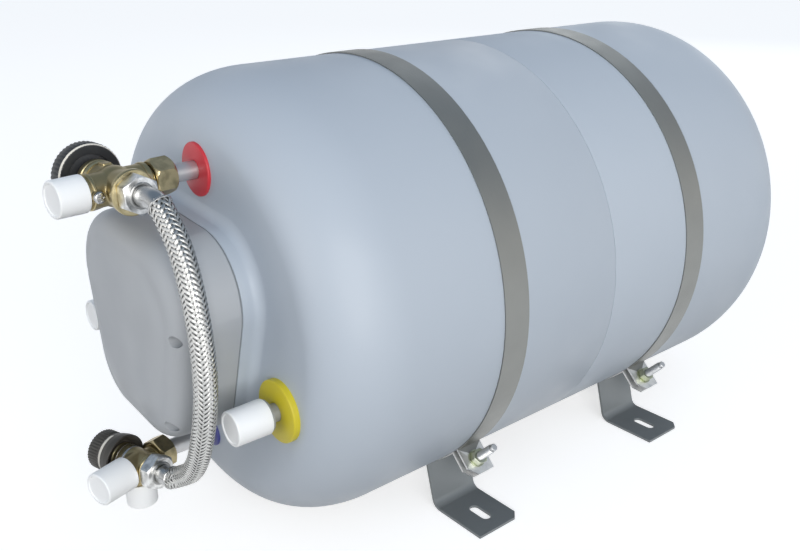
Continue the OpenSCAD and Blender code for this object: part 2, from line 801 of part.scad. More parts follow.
module gland_nut() color("#4B4F54") in_tank() gland_seat() difference() {
    from = 6 + gland_flange_h + gap;
    union() {
        translate([0, 0, from]) cylinder(h = gland_nut_h - 4, r = gland_r + 2);
        translate([0, 0, from + gland_nut_h - 4])
            cylinder(h = 4, r1 = gland_r + 2, r2 = gland_r - 2);
    }
    translate([0, 0, from - 1]) cylinder(h = 14 - gap, r = gland_r + slip);
    translate([0, 0, from]) cylinder(h = gland_nut_h + 1, r = gland_cable_r + 1);
}

module gland_seal() color("#1E1E1E") in_tank() gland_seat()
    ring(gland_cable_r + 3 - slip, gland_cable_r, 4.1, 14 + gland_flange_h - 1);

module collar(r, h) {
    translate([0, 0, front]) difference() {
        union() {
            cylinder(h = h - 1, r = r);
            translate([0, 0, h - 1]) cylinder(h = 1, r1 = r, r2 = r - 1);
            translate([0, 0, -shell_wall - 3]) cylinder(h = shell_wall + 4, r = sleeve_r);
        }
        translate([0, 0, -20]) cylinder(h = 40, r = pipe_r + slip);
    }
}

module red_collar() color("#D8121F") at_port(hot_angle) collar(collar_d / 2, collar_h);

module blue_collar() color("#1C3FBF") at_port(cold_angle) collar(collar_d / 2, collar_h);

module yellow_collars() color("#F4D60C") for (a = [coil_angle, 180 - coil_angle])
    at_port(a) collar(ring_d / 2, ring_h);

// A union nut: its back holds the pipe's collar, its thread takes the valve's spigot
module union_nut(reach, height) difference() {
    hex_y(reach - height, reach, nut_af);
    along_y(reach - height - 1, reach - nut_back, spigot_r + slip);
    along_y(reach - nut_back - 1, reach + 1,
            pipe_r + end_sleeve + slip + nut_back * sin(safety_yaw) / 2);
}

module hot_union_nut() color("#A98A4B") at_mixer() union_nut(mixer_reach, nut_h);

module cold_union_nut() color("#A98A4B") at_safety() union_nut(safety_reach, cold_nut_h);

// The flat washers: one between each valve and its pipe, one in each hose nut
module washers_of(reach, port) {
    rotate([-90, 0, 0]) pipe_piece(reach - ball_len - washer_h, reach - ball_len,
                                   union_collar_r, pipe_r - pipe_wall);
    rotate([0, 90, 0]) pipe_piece(port + spigot_length, port + spigot_length + washer_h,
                                  union_collar_r, tail_bore_r);
}

module union_washers() color("#2B2B2B") {
    at_mixer() washers_of(mixer_reach, mixer_port);
    at_safety() washers_of(safety_reach, safety_port);
}

module mixer_body() color("#A98A4B") at_mixer() difference() {
    spigot_end = mixer_reach - ball_len - washer_h;
    outlet_end = -mixer_outlet - thread_length;
    union() {
        along_x(mixer_shoulder, mixer_port, mixer_r);
        along_x(mixer_port - 4, mixer_port, mixer_r + 3);
        along_x(mixer_port - 1, mixer_port + spigot_length, spigot_r);
        along_y(-mixer_outlet + 2, mixer_reach - nut_h - 3, mixer_r - 1);
        along_y(0, spigot_end, spigot_r);
        along_y(outlet_end, 0, thread_r);
        translate([0, -mixer_outlet + 5.5, 0]) along_x(0, mixer_r + 1, 4.5);
    }
    along_x(mixer_shoulder - 1, mixer_step, mixer_bore_r);
    along_x(0, mixer_port + hose_nut_h, tail_bore_r + 1);
    along_y(0, spigot_end + 1, pipe_r - pipe_wall);
    along_y(outlet_end - 1, 0, thread_bore_r);
    translate([0, -mixer_outlet + 5.5, 0]) along_x(mixer_r - 3, mixer_r + 2, 2 + slip);
}

module mixer_bonnet() color("#A98A4B") at_mixer() difference() {
    union() {
        along_x(mixer_bonnet_end + 4, mixer_shoulder, mixer_bonnet_r);
        along_x(mixer_bonnet_end, mixer_shoulder, mixer_bonnet_r - 4);
        along_x(mixer_shoulder - 1, mixer_shoulder + 6, mixer_bore_r - slip);
    }
    along_x(mixer_bonnet_end - 1, 0, spindle_r + slip);
}

module mixer_spindle() color("#B9994F") at_mixer()
    along_x(mixer_knob_face - mixer_knob_h + 6, spindle_tip, spindle_r);

module ribbed_disc(r, depth, count, h) {
    linear_extrude(height = h) polygon([for (i = [0 : 2 * count - 1])
        let (q = 180 * i / count, k = r - (i % 2) * depth) [k * cos(q), k * sin(q)]]);
}

module mixer_knob() color("#1B1B1D") at_mixer() difference() {
    translate([mixer_knob_end, 0, 0]) rotate([0, 90, 0])
        ribbed_disc(mixer_knob_d / 2, 0.8, knob_ribs, mixer_knob_h);
    along_x(mixer_knob_end + 6, mixer_knob_face + 1, spindle_r);
    along_x(mixer_knob_end - 1, mixer_knob_end + 3, 5);
    along_x(mixer_knob_end, mixer_knob_end + 7, 2);
    difference() {
        along_x(mixer_knob_end - 1, mixer_knob_end + 2, mixer_knob_d / 2 - 4);
        along_x(mixer_knob_end - 2, mixer_knob_end + 3, mixer_knob_d / 2 - 6);
    }
}

module knob_screw() color("#8A8D90") at_mixer() {
    along_x(mixer_knob_end + 0.5, mixer_knob_end + 3, 4.5);
    along_x(mixer_knob_end + 2, mixer_knob_end + 6, 2);
}

// The sleeve that meters hot and cold water, screwed on the spindle, with its wax element
module mixer_piston() color("#C2A25A") at_mixer() difference() {
    union() {
        along_x(piston_from, piston_to, mixer_bore_r - slip);
        along_x(piston_to - 1, piston_to + 11, 5);
    }
    along_x(piston_from - 1, spindle_tip + 3, spindle_r + slip);
    for (q = [45 : 90 : 315]) rotate([q, 0, 0]) translate([0, 0, mixer_bore_r - 2.5])
        along_x(piston_from - 1, piston_to + 1, 1.2);
}

module coil_spring(from, to, r, wire, turns) {
    path = helix(r, (to - from - 2 * wire) / turns, turns, 16);
    translate([from + wire, 0, 0]) swept(path, [for (p = path) [1, 0, 0]], wire, 5);
}

module mixer_spring() color("#9A9DA1") at_mixer()
    coil_spring(piston_to + gap, mixer_step - gap, 7.3, 0.8, 4);

module outlet_screw() color("#C9CCD0") at_mixer() translate([0, -mixer_outlet + 5.5, 0])
    difference() {
        union() {
            along_x(mixer_r - 2, mixer_r + 2, 2);
            along_x(mixer_r + 1, mixer_r + 3.5, 4);
        }
        for (q = [0, 90]) rotate([q, 0, 0])
            translate([mixer_r + 2.5, -2.4, -0.5]) cube([2, 4.8, 1]);
    }

module hose_nut(port) difference() {
    hex_x(port + gap, port + hose_nut_h, nut_af);
    along_x(port - 1, port + hose_nut_h - nut_back, spigot_r + slip);
    along_x(port, port + hose_nut_h + 1, tail_r + slip);
}

module hose_nut_top() color("#C4C7CB") at_mixer() hose_nut(mixer_port);

module hose_nut_low() color("#C4C7CB") at_safety() hose_nut(safety_port);

// A bent tail: a collar inside the nut, a straight, a bend and the crimped ferrule
module hose_tail(port, straight, turn) {
    inner_end = port + hose_nut_h - nut_back;
    bend_x = port + hose_nut_h + straight;
    end = tail_path(port, straight, turn);
    rotate([0, 90, 0]) {
        pipe_piece(inner_end - tail_collar_h, inner_end - slip, spigot_r - 0.8, tail_bore_r);
        pipe_piece(inner_end - slip - 0.5, bend_x, tail_r, tail_bore_r);
    }
    translate([bend_x, 0, 0]) rotate([0, -90, 0]) rotate([0, 0, turn > 0 ? -90 : 90])
        pipe_bend(tail_bend_r, tail_r, tail_bore_r, abs(turn));
    translate([end[0], 0, end[1]]) rotate([0, 90 - turn, 0])
        pipe_piece(-ferrule_lap, ferrule_length, ferrule_r, tail_r - 1);
}

module hose_tail_top() color("#D5D8DC") at_mixer()
    hose_tail(mixer_port, tail_top_straight, -tail_top_turn);

module hose_tail_low() color("#D5D8DC") at_safety()
    hose_tail(safety_port, tail_low_straight, tail_low_turn);

module braided_hose() color("#B8BBBE")
    swept(hose_route, [for (p = hose_route) [0, 1, 0]], hose_r, 12,
          [cos(tail_top_turn) * cos(mixer_yaw), cos(tail_top_turn) * sin(mixer_yaw),
           -sin(tail_top_turn)],
          -[cos(tail_low_turn) * cos(safety_yaw), cos(tail_low_turn) * sin(safety_yaw),
            sin(tail_low_turn)]);

module safety_body() color("#8C7440") at_safety() difference() {
    spigot_end = safety_reach - ball_len - washer_h;
    inlet_end = -inlet_stand - thread_length;
    drain_end = -drain_stand - drain_thread_length;
    union() {
        along_x(safety_shoulder, safety_port, safety_r);
        along_x(safety_port - 3, safety_port, safety_r + safety_rim);
        along_x(safety_port - 1, safety_port + spigot_length, spigot_r);
        along_y(0, spigot_end, spigot_r);
        along_y(inlet_end, 0, thread_r);
        translate([-drain_shift, 0, 0]) along_z(drain_end, 0, drain_thread_r);
    }
    along_x(safety_shoulder - 1, seat_from, safety_bore_r);
    along_x(seat_from - 1, seat_to + 1, seat_r);
    along_x(seat_to, safety_port + hose_nut_h, tail_bore_r + 1);
    along_y(0, spigot_end + 1, pipe_r - pipe_wall);
    along_y(poppet_seat - 3, poppet_seat, 5);
    along_y(poppet_seat, -6, 7.5);
    along_y(-8, 0, 4);
    along_y(inlet_end - 1, poppet_seat - 2, thread_bore_r);
    translate([-drain_shift, 0, 0]) along_z(drain_end - 1, -drain_stand + 2, 8);
    translate([-drain_shift - 6, 0, 0]) along_z(-drain_stand, 0, 1.5);
}

module safety_bonnet() color("#8C7440") at_safety() difference() {
    union() {
        along_x(safety_shoulder - 2, safety_shoulder, safety_r);
        along_x(safety_shoulder - 8, safety_shoulder, 8);
        along_x(safety_shoulder - 1, safety_shoulder + 4, safety_bore_r - slip);
    }
    along_x(safety_shoulder - 9, 0, safety_spindle_r + slip);
}

// The spindle with the disc that closes on the valve's seat
module safety_spindle() color("#B9994F") at_safety() {
    along_x(safety_knob_end + 8, seat_from - gap, safety_spindle_r);
    along_x(seat_from - 2 - gap, seat_from - gap, disc_r);
}

module safety_knob() color("#2A2622") at_safety() difference() {
    translate([safety_knob_end, 0, 0]) rotate([0, 90, 0])
        ribbed_disc(safety_knob_d / 2, 1, 30, safety_knob_h + safety_skirt);
    along_x(safety_knob_face, safety_knob_face + safety_skirt + 1,
            safety_r + safety_skirt_room);
    along_x(safety_knob_face - 7 - gap, safety_knob_face + 1, 8 + gap);
    along_x(safety_knob_end + 8 - disc_lift - gap, safety_knob_face, safety_spindle_r + slip);
}

module safety_spring() color("#9A9DA1") at_safety()
    coil_spring(safety_shoulder + 4 + gap, seat_from - 2 - 2 * gap, 5.2, 0.7, 4);

module check_poppet() color("#E8E4DA") at_safety() {
    along_y(poppet_seat + gap, poppet_seat + 2 + gap, disc_r);
    along_y(poppet_seat + gap, poppet_seat + 5, 2);
}

// A white cap: open towards its thread, with a shallow rim round its closed end
module cap(r, length) difference() {
    rotate_extrude() polygon([[0, 0], [r - 0.4, 0], [r, 0.4], [r, length - 1.5],
                              [r - 1.5, length], [0, length]]);
    translate([0, 0, -1]) cylinder(h = length - cap_end + 1, r = r - cap_wall);
    translate([0, 0, length - 0.6]) cylinder(h = 1, r = r - 3);
}

module outlet_cap() color("#F4F5F3") at_mixer() translate([0, -mixer_outlet, 0])
    rotate([90, 0, 0]) cap(cap_r, cap_length);

module inlet_cap() color("#F4F5F3") at_safety() translate([0, -inlet_stand, 0])
    rotate([90, 0, 0]) cap(cap_r, cap_length);

module drain_cap() color("#F4F5F3") at_safety() translate([-drain_shift, 0, -drain_stand])
    rotate([180, 0, 0]) cap(drain_cap_r, drain_cap_length);

module coil_cap_right() color("#F4F5F3") at_port(coil_angle)
    translate([0, 0, front + coil_cap_stand]) cap(cap_r, cap_length);

module coil_cap_left() color("#F4F5F3") at_port(180 - coil_angle)
    translate([0, 0, front + coil_cap_stand + left_extra]) cap(cap_r, cap_length);

// Local frame of a strap: u to the right, v up from the tank's axis, w forward
module at_strap(y) {
    translate([0, y, axis_z]) rotate([90, 0, 0]) children();
}

module band(from, to) {
    rotate([0, 0, from]) rotate_extrude(angle = to - from)
        translate([strap_in, -strap_w / 2]) square([strap_t, strap_w]);
}

// One lug, square to the strap: up > 0 lies above the joint's middle, up < 0 below it
module lug(up) difference() {
    translate([strap_in, up > 0 ? lug_from : -lug_to, -strap_w / 2])
        cube([strap_t + lug_length, lug_t, strap_w]);
    translate([lug_bolt_r, 0, 0]) rotate([90, 0, 0])
        cylinder(h = 4 * lug_to, r = bolt_r + gap, center = true);
    translate([strap_out + lug_length, 0, strap_w / 2]) rotate([0, 45, 0])
        cube([12, 4 * lug_to, 12], center = true);
}

module strap() {
    tuck = asin(lug_from / strap_in);
    band(tuck - lug_angle, 180 + lug_angle - tuck);
    for (s = [0, 1]) mirror([s, 0, 0]) rotate([0, 0, -lug_angle]) lug(1);
}

module saddle() {
    tuck = asin(lug_from / strap_in);
    band(180 + lug_angle + tuck, 360 - lug_angle - tuck);
    for (s = [0, 1]) mirror([s, 0, 0]) rotate([0, 0, -lug_angle]) lug(-1);
}

module front_strap() color("#A9A79F") at_strap(-strap_pitch / 2) strap();

module rear_strap() color("#A9A79F") at_strap(strap_pitch / 2) strap();

module front_saddle() color("#A9A79F") at_strap(-strap_pitch / 2) saddle();

module rear_saddle() color("#A9A79F") at_strap(strap_pitch / 2) saddle();

// A foot's section: the sole, the bend and the leaning upright, up into the shell's round
module foot_section() {
    turn = 90 - foot_lean;
    outer_r = foot_bend_r + foot_t;
    bend = [slot_x - foot_heel, outer_r];
    up = 60 * [-sin(foot_lean), cos(foot_lean)];
    outer = arc_points(bend, outer_r, 270, 270 - turn, 8);
    inner = arc_points(bend, foot_bend_r, 270 - turn, 270, 8);
    polygon(concat([[slot_x + foot_toe, 0]], outer, [outer[8] + up, inner[0] + up], inner,
                   [[slot_x + foot_toe, foot_t]]));
}

module foot() difference() {
    straight = slot_length / 2 - slot_r;
    translate([0, foot_w / 2, 0]) rotate([90, 0, 0]) linear_extrude(height = foot_w) foot_section();
    at_strap(0) cylinder(h = foot_w + 2, r = shell_r + gap, center = true);
    at_strap(0) cylinder(h = strap_w + 2, r = strap_out + slip, center = true);
    translate([slot_x - straight, -slot_r, -1]) cube([2 * straight, 2 * slot_r, 20]);
    for (s = [-1, 1]) translate([slot_x + s * straight, 0, -1]) cylinder(h = 20, r = slot_r);
    translate([slot_x + foot_toe, foot_w / 2, 0]) rotate([0, 0, 45])
        cube([foot_corner, foot_corner, 20], center = true);
}

module right_feet() color("#8E97A1") for (y = [-1, 1])
    translate([0, y * strap_pitch / 2, 0]) foot();

module left_feet() color("#8E97A1") mirror([1, 0, 0]) for (y = [-1, 1])
    translate([0, y * strap_pitch / 2, 0]) foot();

// The four joints of the straps: the bolt's axis runs through both lugs
module at_joints() {
    for (y = [-1, 1], s = [0, 1]) at_strap(y * strap_pitch / 2) mirror([s, 0, 0])
        rotate([0, 0, -lug_angle]) translate([lug_bolt_r, 0, 0]) rotate([-90, 0, 0]) children();
}

module clamp_bolts() color("#C9B56A") at_joints() {
    under = -lug_to - washer_t;
    translate([0, 0, under - bolt_head_h])
        cylinder(h = bolt_head_h, r = bolt_af / sqrt(3), $fn = 6);
    translate([0, 0, under - 1]) cylinder(h = lug_to + bolt_stand - under + 1, r = bolt_r);
}

module clamp_nuts() color("#C9B56A") at_joints() difference() {
    translate([0, 0, lug_to + washer_t])
        cylinder(h = bolt_nut_h, r = bolt_af / sqrt(3), $fn = 6);
    cylinder(h = 40, r = bolt_r + slip);
}

module clamp_washers() color("#C9B56A") at_joints() {
    ring(washer_r, bolt_r + gap, lug_to, lug_to + washer_t);
    ring(washer_r, bolt_r + gap, -lug_to - washer_t, -lug_to);
}

front_shell();
rear_shell();
insulation();
inner_tank();
hot_pipe();
cold_pipe();
coil_stub_right();
coil_stub_left();
heat_exchanger();
heating_element();
element_gasket();
thermowell();
thermostat();
reset_button();
terminal_block();
cover();
cover_seal();
cover_screws();
gland_body();
gland_nut();
gland_seal();
red_collar();
blue_collar();
yellow_collars();
hot_union_nut();
cold_union_nut();
union_washers();
mixer_body();
mixer_bonnet();
mixer_spindle();
mixer_knob();
knob_screw();
mixer_piston();
mixer_spring();
outlet_screw();
hose_nut_top();
hose_nut_low();
hose_tail_top();
hose_tail_low();
braided_hose();
safety_body();
safety_bonnet();
safety_spindle();
safety_knob();
safety_spring();
check_poppet();
outlet_cap();
inlet_cap();
drain_cap();
coil_cap_right();
coil_cap_left();
front_strap();
rear_strap();
front_saddle();
rear_saddle();
right_feet();
left_feet();
clamp_bolts();
clamp_nuts();
clamp_washers();
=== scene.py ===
"""Looks of a caravan water heater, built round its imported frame.

Each new piece is modelled in millimetres in the local frame of what carries it. It is then put
in its place, applied, dressed in its finish and handed to the body of the node it stands for.
"""

import json
import logging
import math
from collections.abc import Sequence
from dataclasses import dataclass
from enum import Enum

import bpy
from mathutils import Matrix, Vector


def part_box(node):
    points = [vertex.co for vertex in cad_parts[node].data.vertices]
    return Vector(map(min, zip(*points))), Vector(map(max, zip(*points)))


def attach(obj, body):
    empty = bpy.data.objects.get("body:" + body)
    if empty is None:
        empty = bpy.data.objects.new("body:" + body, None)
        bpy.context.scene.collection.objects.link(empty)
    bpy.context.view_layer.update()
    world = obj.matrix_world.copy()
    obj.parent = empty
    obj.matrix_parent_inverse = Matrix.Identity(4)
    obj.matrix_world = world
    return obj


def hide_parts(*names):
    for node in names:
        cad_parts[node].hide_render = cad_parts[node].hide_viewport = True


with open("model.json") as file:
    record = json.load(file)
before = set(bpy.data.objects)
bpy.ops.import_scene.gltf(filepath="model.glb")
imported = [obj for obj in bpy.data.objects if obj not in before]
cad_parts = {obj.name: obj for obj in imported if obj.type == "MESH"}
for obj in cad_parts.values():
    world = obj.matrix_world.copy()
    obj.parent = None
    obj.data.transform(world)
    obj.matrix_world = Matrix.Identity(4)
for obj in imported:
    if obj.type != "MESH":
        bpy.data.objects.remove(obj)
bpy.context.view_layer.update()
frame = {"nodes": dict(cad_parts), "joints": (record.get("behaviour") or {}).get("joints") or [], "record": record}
log = logging.getLogger("heater")

MM = 0.001
JOINTS = {joint["name"]: joint for joint in frame["joints"]}
BODY_OF = {node: body for body, nodes in frame["record"]["behaviour"]["bodies"].items()
           for node in nodes}
Colour = tuple[float, float, float]
Point = tuple[float, float, float]
Span = tuple[float, float]
Outline = list[Span]
Corners = Sequence[tuple[float, ...]]
Piece = bpy.types.Object
Socket = bpy.types.NodeSocket

Z_TO_X = Matrix.Rotation(math.pi / 2, 4, "Y")
Z_TO_MINUS_X = Matrix.Rotation(-math.pi / 2, 4, "Y")
Z_TO_Y = Matrix.Rotation(-math.pi / 2, 4, "X")
Z_TO_MINUS_Y = Matrix.Rotation(math.pi / 2, 4, "X")

# Sizes in millimetres that several classes share: how far the base under the cover stands out of
# the front face, the width of the nuts on the water pipes and hose, and the larger caps' radius
BASE_HEIGHT = 16.0
NUT_FLATS = 27.0
CAP_RADIUS = 14.5

# The hose tails: their radius, and heights and radii along the lip that each one ends in
TAIL_RADIUS = 8.0
TAIL_LIP = ((0.3, 8.7), (0.9, 9.5), (1.6, 9.9), (2.3, 9.8), (2.6, 9.4))

# Their bends: the bend's radius, then where each begins, and how far it has turned in degrees
# at the braid's lip and at the free hose
TAIL_BEND = 16.0
TOP_BEND, TOP_LIP, TOP_TURN = 52.0, -30.0, -50.0
LOW_BEND, LOW_LIP, LOW_TURN = 35.0, 6.0, 30.0

# A casting's facets in millimetres, and how often they are smoothed
CAST_FACET = 0.55
CAST_ROUNDS = 10

# A grip's points from rib to rib, and a thread's depth as a share of its pitch
POINTS_PER_RIB = 6
THREAD_DEPTH = 0.62


# Reading the frame

def span(node: str) -> tuple[Vector, Vector]:
    """The lowest and highest corners of a node, in millimetres."""
    low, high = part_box(node)
    return low / MM, high / MM


def middle(node: str) -> Vector:
    """The middle of a node's box, in millimetres."""
    low, high = span(node)
    return (low + high) / 2


@dataclass(frozen=True)
class Lines:
    """The heater's main lines in millimetres: front, seam and rear lie along the tank's axis."""

    radius: float
    axis_z: float
    front: float
    seam: float
    rear: float
    turn: float

    @classmethod
    def read(cls) -> "Lines":
        """Reads the lines from the frame.

        Returns:
            The lines.
        """
        front_low, front_high = span("front_shell")
        rear_low, rear_high = span("rear_shell")
        axis_z = (rear_low.z + rear_high.z) / 2
        hot = middle("red_collar")
        return cls(radius=(rear_high.x - rear_low.x) / 2, axis_z=axis_z,
                   front=-front_low.y - BASE_HEIGHT, seam=-front_high.y, rear=-rear_high.y,
                   turn=-math.atan2(hot.x, hot.z - axis_z))

    def tank(self) -> Matrix:
        """The tank's place: x right, y up and z forward along its axis, turned in its straps."""
        return (Matrix.Translation((0, 0, self.axis_z)) @ Z_TO_MINUS_Y
                @ Matrix.Rotation(self.turn, 4, "Z"))

    def strap(self, node: str) -> Matrix:
        """The place of the strap that a node shows, upright whatever the tank's turn."""
        return Matrix.Translation((0, middle(node).y, self.axis_z)) @ Z_TO_MINUS_Y

    def port(self, node: str) -> Matrix:
        """The place on the front face where the pipe under a node comes out."""
        centre = middle(node)
        return Matrix.Translation((centre.x, -self.front, centre.z)) @ Z_TO_MINUS_Y


def valve_place(joint: str) -> Matrix:
    """A valve's place: x away from its knob, y towards the tank and z up.

    Args:
        joint: The joint that turns the valve's knob.

    Returns:
        The place, from the joint's middle and axis.
    """
    across = -Vector(JOINTS[joint]["axis"])
    up = Vector((0, 0, 1))
    turn = Matrix((across, up.cross(across), up)).transposed().to_4x4()
    return Matrix.Translation(Vector(JOINTS[joint]["pos_m"]) / MM) @ turn


# Modelling

def only(obj: Piece) -> None:
    """Selects one object alone and makes it the active one.

    Args:
        obj: The object.
    """
    bpy.ops.object.select_all(action="DESELECT")
    obj.select_set(True)
    bpy.context.view_layer.objects.active = obj


class Editing:
    """Edit mode on one object, entered with nothing selected."""

    def __init__(self, obj: Piece, mode: str = "VERT") -> None:
        """Notes the object and whether vertices, edges or faces are worked on."""
        self.obj = obj
        self.mode = mode

    def __enter__(self) -> "Editing":
        """Enters edit mode.

        Returns:
            The editing itself.
        """
        only(self.obj)
        bpy.ops.object.mode_set(mode="EDIT")
        bpy.ops.mesh.select_mode(type=self.mode)
        bpy.ops.mesh.select_all(action="DESELECT")
        return self

    def __exit__(self, *reason: object) -> None:
        """Goes back to object mode."""
        bpy.ops.object.mode_set(mode="OBJECT")


def rounded(corners: Corners, steps: int = 5) -> Outline:
    """Rounds an outline's corners with true arcs.

    Args:
        corners: Each corner's two coordinates, and its radius where it isn't sharp.
        steps: How many stretches an arc has.

    Returns:
        The outline's points.
    """
    points: Outline = []
    for index, (x, y, *rounding) in enumerate(corners):
        if not rounding:
            points.append((x, y))
            continue
        radius = rounding[0]
        here = Vector((x, y))
        back = (Vector(corners[index - 1][:2]) - here).normalized()
        ahead = (Vector(corners[(index + 1) % len(corners)][:2]) - here).normalized()
        half = back.angle(ahead) / 2
        centre = here + (back + ahead).normalized() * radius / math.sin(half)
        spoke = here + back * radius / math.tan(half) - centre
        turn = math.copysign(math.pi - 2 * half, ahead.cross(back))
        for step in range(steps + 1):
            at = centre + Matrix.Rotation(turn * step / steps, 2) @ spoke
            points.append((at.x, at.y))
    return points


def draw(name: str, points: list[Vector], closed: bool = False) -> Piece:
    """Draws a line by extruding one vertex from point to point.

    Args:
        name: The new object's name.
        points: The line's points.
        closed: Whether the line runs back to its first point.

    Returns:
        The object that holds the line.
    """
    bpy.ops.mesh.primitive_plane_add(size=0.01)
    obj = bpy.context.active_object
    obj.name = name
    with Editing(obj):
        bpy.ops.mesh.select_all(action="SELECT")
        bpy.ops.mesh.merge(type="CENTER")
        bpy.ops.transform.translate(value=points[0])
        for here, there in zip(points, points[1:] + points[:1] * closed):
            bpy.ops.mesh.extrude_vertices_move(TRANSFORM_OT_translate={"value": there - here})
        bpy.ops.mesh.select_all(action="SELECT")
        bpy.ops.mesh.remove_doubles(threshold=0.001)
    return obj


def modified(obj: Piece, kind: str, **values: object) -> Piece:
    """Adds one modifier, sets its values and applies it.

    Args:
        obj: The object.
        kind: The modifier's type.
        values: The modifier's own properties.

    Returns:
        The object.
    """
    only(obj)
    modifier = obj.modifiers.new(kind.title(), kind)
    for key, value in values.items():
        setattr(modifier, key, value)
    bpy.ops.object.modifier_apply(modifier=modifier.name)
    return obj


def faced_out(obj: Piece) -> Piece:
    """Merges an object's doubles and turns its faces outwards.

    Args:
        obj: The object.

    Returns:
        The object.
    """
    with Editing(obj):
        bpy.ops.mesh.select_all(action="SELECT")
        bpy.ops.mesh.remove_doubles(threshold=0.005)
        bpy.ops.mesh.normals_make_consistent(inside=False)
    return obj


def turned(name: str, corners: Corners, sides: int = 64, steps: int = 5) -> Piece:
    """Turns a profile round the z axis, as on a lathe.

    Args:
        name: The new object's name.
        corners: The profile's corners: a radius, a height and, where it is rounded, by how much.
        sides: How many steps go round.
        steps: How many stretches a rounded corner has.

    Returns:
        The turned object. It is closed where the profile is, or where it ends on the axis.
    """
    ends_meet = corners[0][0] > 0 or corners[-1][0] > 0
    profile = [Vector((r, 0, h)) for r, h in rounded(corners, steps)]
    obj = draw(name, profile, closed=ends_meet)
    modified(obj, "SCREW", steps=sides, render_steps=sides, use_merge_vertices=True,
             merge_threshold=0.001)
    return faced_out(obj)


def lofted(name: str, outline: Outline, levels: Outline, half: float) -> Piece:
    """Raises an outline through levels, drawn in or let out at each.

    Args:
        name: The new object's name.
        outline: The outline's points, at the first level.
        levels: Each level's height and how far it is let out, negative when drawn in.
        half: Half the outline's width, which the letting out is taken on.

    Returns:
        The closed object.
    """
    obj = draw(name, [Vector((x, y, levels[0][0])) for x, y in outline], closed=True)
    with Editing(obj, "FACE"):
        bpy.ops.mesh.select_all(action="SELECT")
        bpy.ops.mesh.edge_face_add()
        first = 1 + levels[0][1] / half
        bpy.ops.transform.resize(value=(first, first, 1), center_override=(0, 0, 0))
        for (low, inner), (high, outer) in zip(levels, levels[1:]):
            bpy.ops.mesh.extrude_region_move(TRANSFORM_OT_translate={"value": (0, 0, high - low)})
            ratio = (half + outer) / (half + inner)
            bpy.ops.transform.resize(value=(ratio, ratio, 1), center_override=(0, 0, 0))
    return faced_out(obj)


def moved(obj: Piece, place: Matrix) -> Piece:
    """Puts an object in a place and applies it to the mesh.

    Args:
        obj: The object.
        place: The place.

    Returns:
        The object.
    """
    only(obj)
    obj.matrix_world = place @ obj.matrix_world
    bpy.ops.object.transform_apply(location=True, rotation=True, scale=True)
    if place.determinant() < 0:
        faced_out(obj)
    return obj


def joined(name: str, *parts: Piece) -> Piece:
    """Joins objects into one.

    Args:
        name: Its name.
        parts: The objects.

    Returns:
        The one object.
    """
    only(parts[0])
    for part in parts:
        part.select_set(True)
    bpy.ops.object.join()
    parts[0].name = name
    return parts[0]


def cut(obj: Piece, tool: Piece, keep: bool = False) -> Piece:
    """Cuts an object with a tool, which is then removed.

    Args:
        obj: The object that is cut.
        tool: The closed shape that cuts.
        keep: Whether the part inside the tool is kept, and not the part outside.

    Returns:
        The cut object.
    """
    modified(obj, "BOOLEAN", operation="INTERSECT" if keep else "DIFFERENCE", object=tool,
             solver="EXACT")
    bpy.data.objects.remove(tool)
    return obj


def blank(name: str) -> Piece:
    """Names the shape that was just added, and applies its place and scale to its mesh."""
    bpy.context.active_object.name = name
    return moved(bpy.context.active_object, Matrix.Identity(4))


def bar(name: str, radius: float, start: float, end: float, sides: int = 48) -> Piece:
    """A round bar along z, the blank or the cutting tool of other pieces."""
    bpy.ops.mesh.primitive_cylinder_add(vertices=sides, radius=radius, depth=end - start,
                                        location=(0, 0, (start + end) / 2))
    return blank(name)


def block(name: str, size: Point, at: Point) -> Piece:
    """A block, the blank or the cutting tool of other pieces."""
    bpy.ops.mesh.primitive_cube_add(size=1, location=at, scale=size)
    return blank(name)


def hexagon(name: str, flats: float, start: float, end: float, bore: float,
            chamfer: float) -> Piece:
    """A hexagon nut along z, with turned chamfers and a bore.

    Args:
        name: The new object's name.
        flats: Its width across the flats.
        start: Its lower face.
        end: Its upper face.
        bore: Its hole's radius.
        chamfer: How far the turned chamfers cut its corners down.

    Returns:
        The nut.
    """
    corner = flats / math.sqrt(3)
    nut = bar(name, corner, start, end, sides=6)
    face, past = flats / 2 - 0.2, 0.01
    envelope = turned("chamfers", [
        (bore, start - past), (face, start - past), (corner + 0.3, start + chamfer),
        (corner + 0.3, end - chamfer), (face, end + past), (bore + 0.6, end + past),
        (bore, end - 0.6)])
    cut(nut, envelope, keep=True)
    return modified(nut, "BEVEL", width=0.3, segments=2, limit_method="ANGLE",
                    angle_limit=math.radians(25), use_clamp_overlap=True)


def cast(name: str, *parts: Piece) -> Piece:
    """Melts solid parts that overlap into one casting with soft fillets."""
    obj = modified(joined(name, *parts), "REMESH", mode="VOXEL", voxel_size=CAST_FACET,
                   use_smooth_shade=True)
    return modified(obj, "SMOOTH", factor=0.5, iterations=CAST_ROUNDS)


def tube_faces(first: int, rings: int, sides: int) -> list[tuple[int, ...]]:
    """The quads between rings of vertices that follow one another.

    Args:
        first: The first ring's first vertex.
        rings: How many rings there are.
        sides: How many vertices a ring has.

    Returns:
        The quads.
    """
    faces = []
    for start in range(first, first + (rings - 1) * sides, sides):
        for side in range(sides):
            a, b = start + side, start + (side + 1) % sides
            faces.append((a, b, b + sides, a + sides))
    return faces


def from_lists(name: str, verts: list[Vector], faces: list[tuple[int, ...]]) -> Piece:
    """Makes an object of vertices and faces.

    Args:
        name: Its name.
        verts: The vertices.
        faces: Each face's vertices by number.

    Returns:
        The object, in the scene.
    """
    mesh = bpy.data.meshes.new(name)
    mesh.from_pydata(verts, [], faces)
    obj = bpy.data.objects.new(name, mesh)
    bpy.context.scene.collection.objects.link(obj)
    return obj


# Finishes

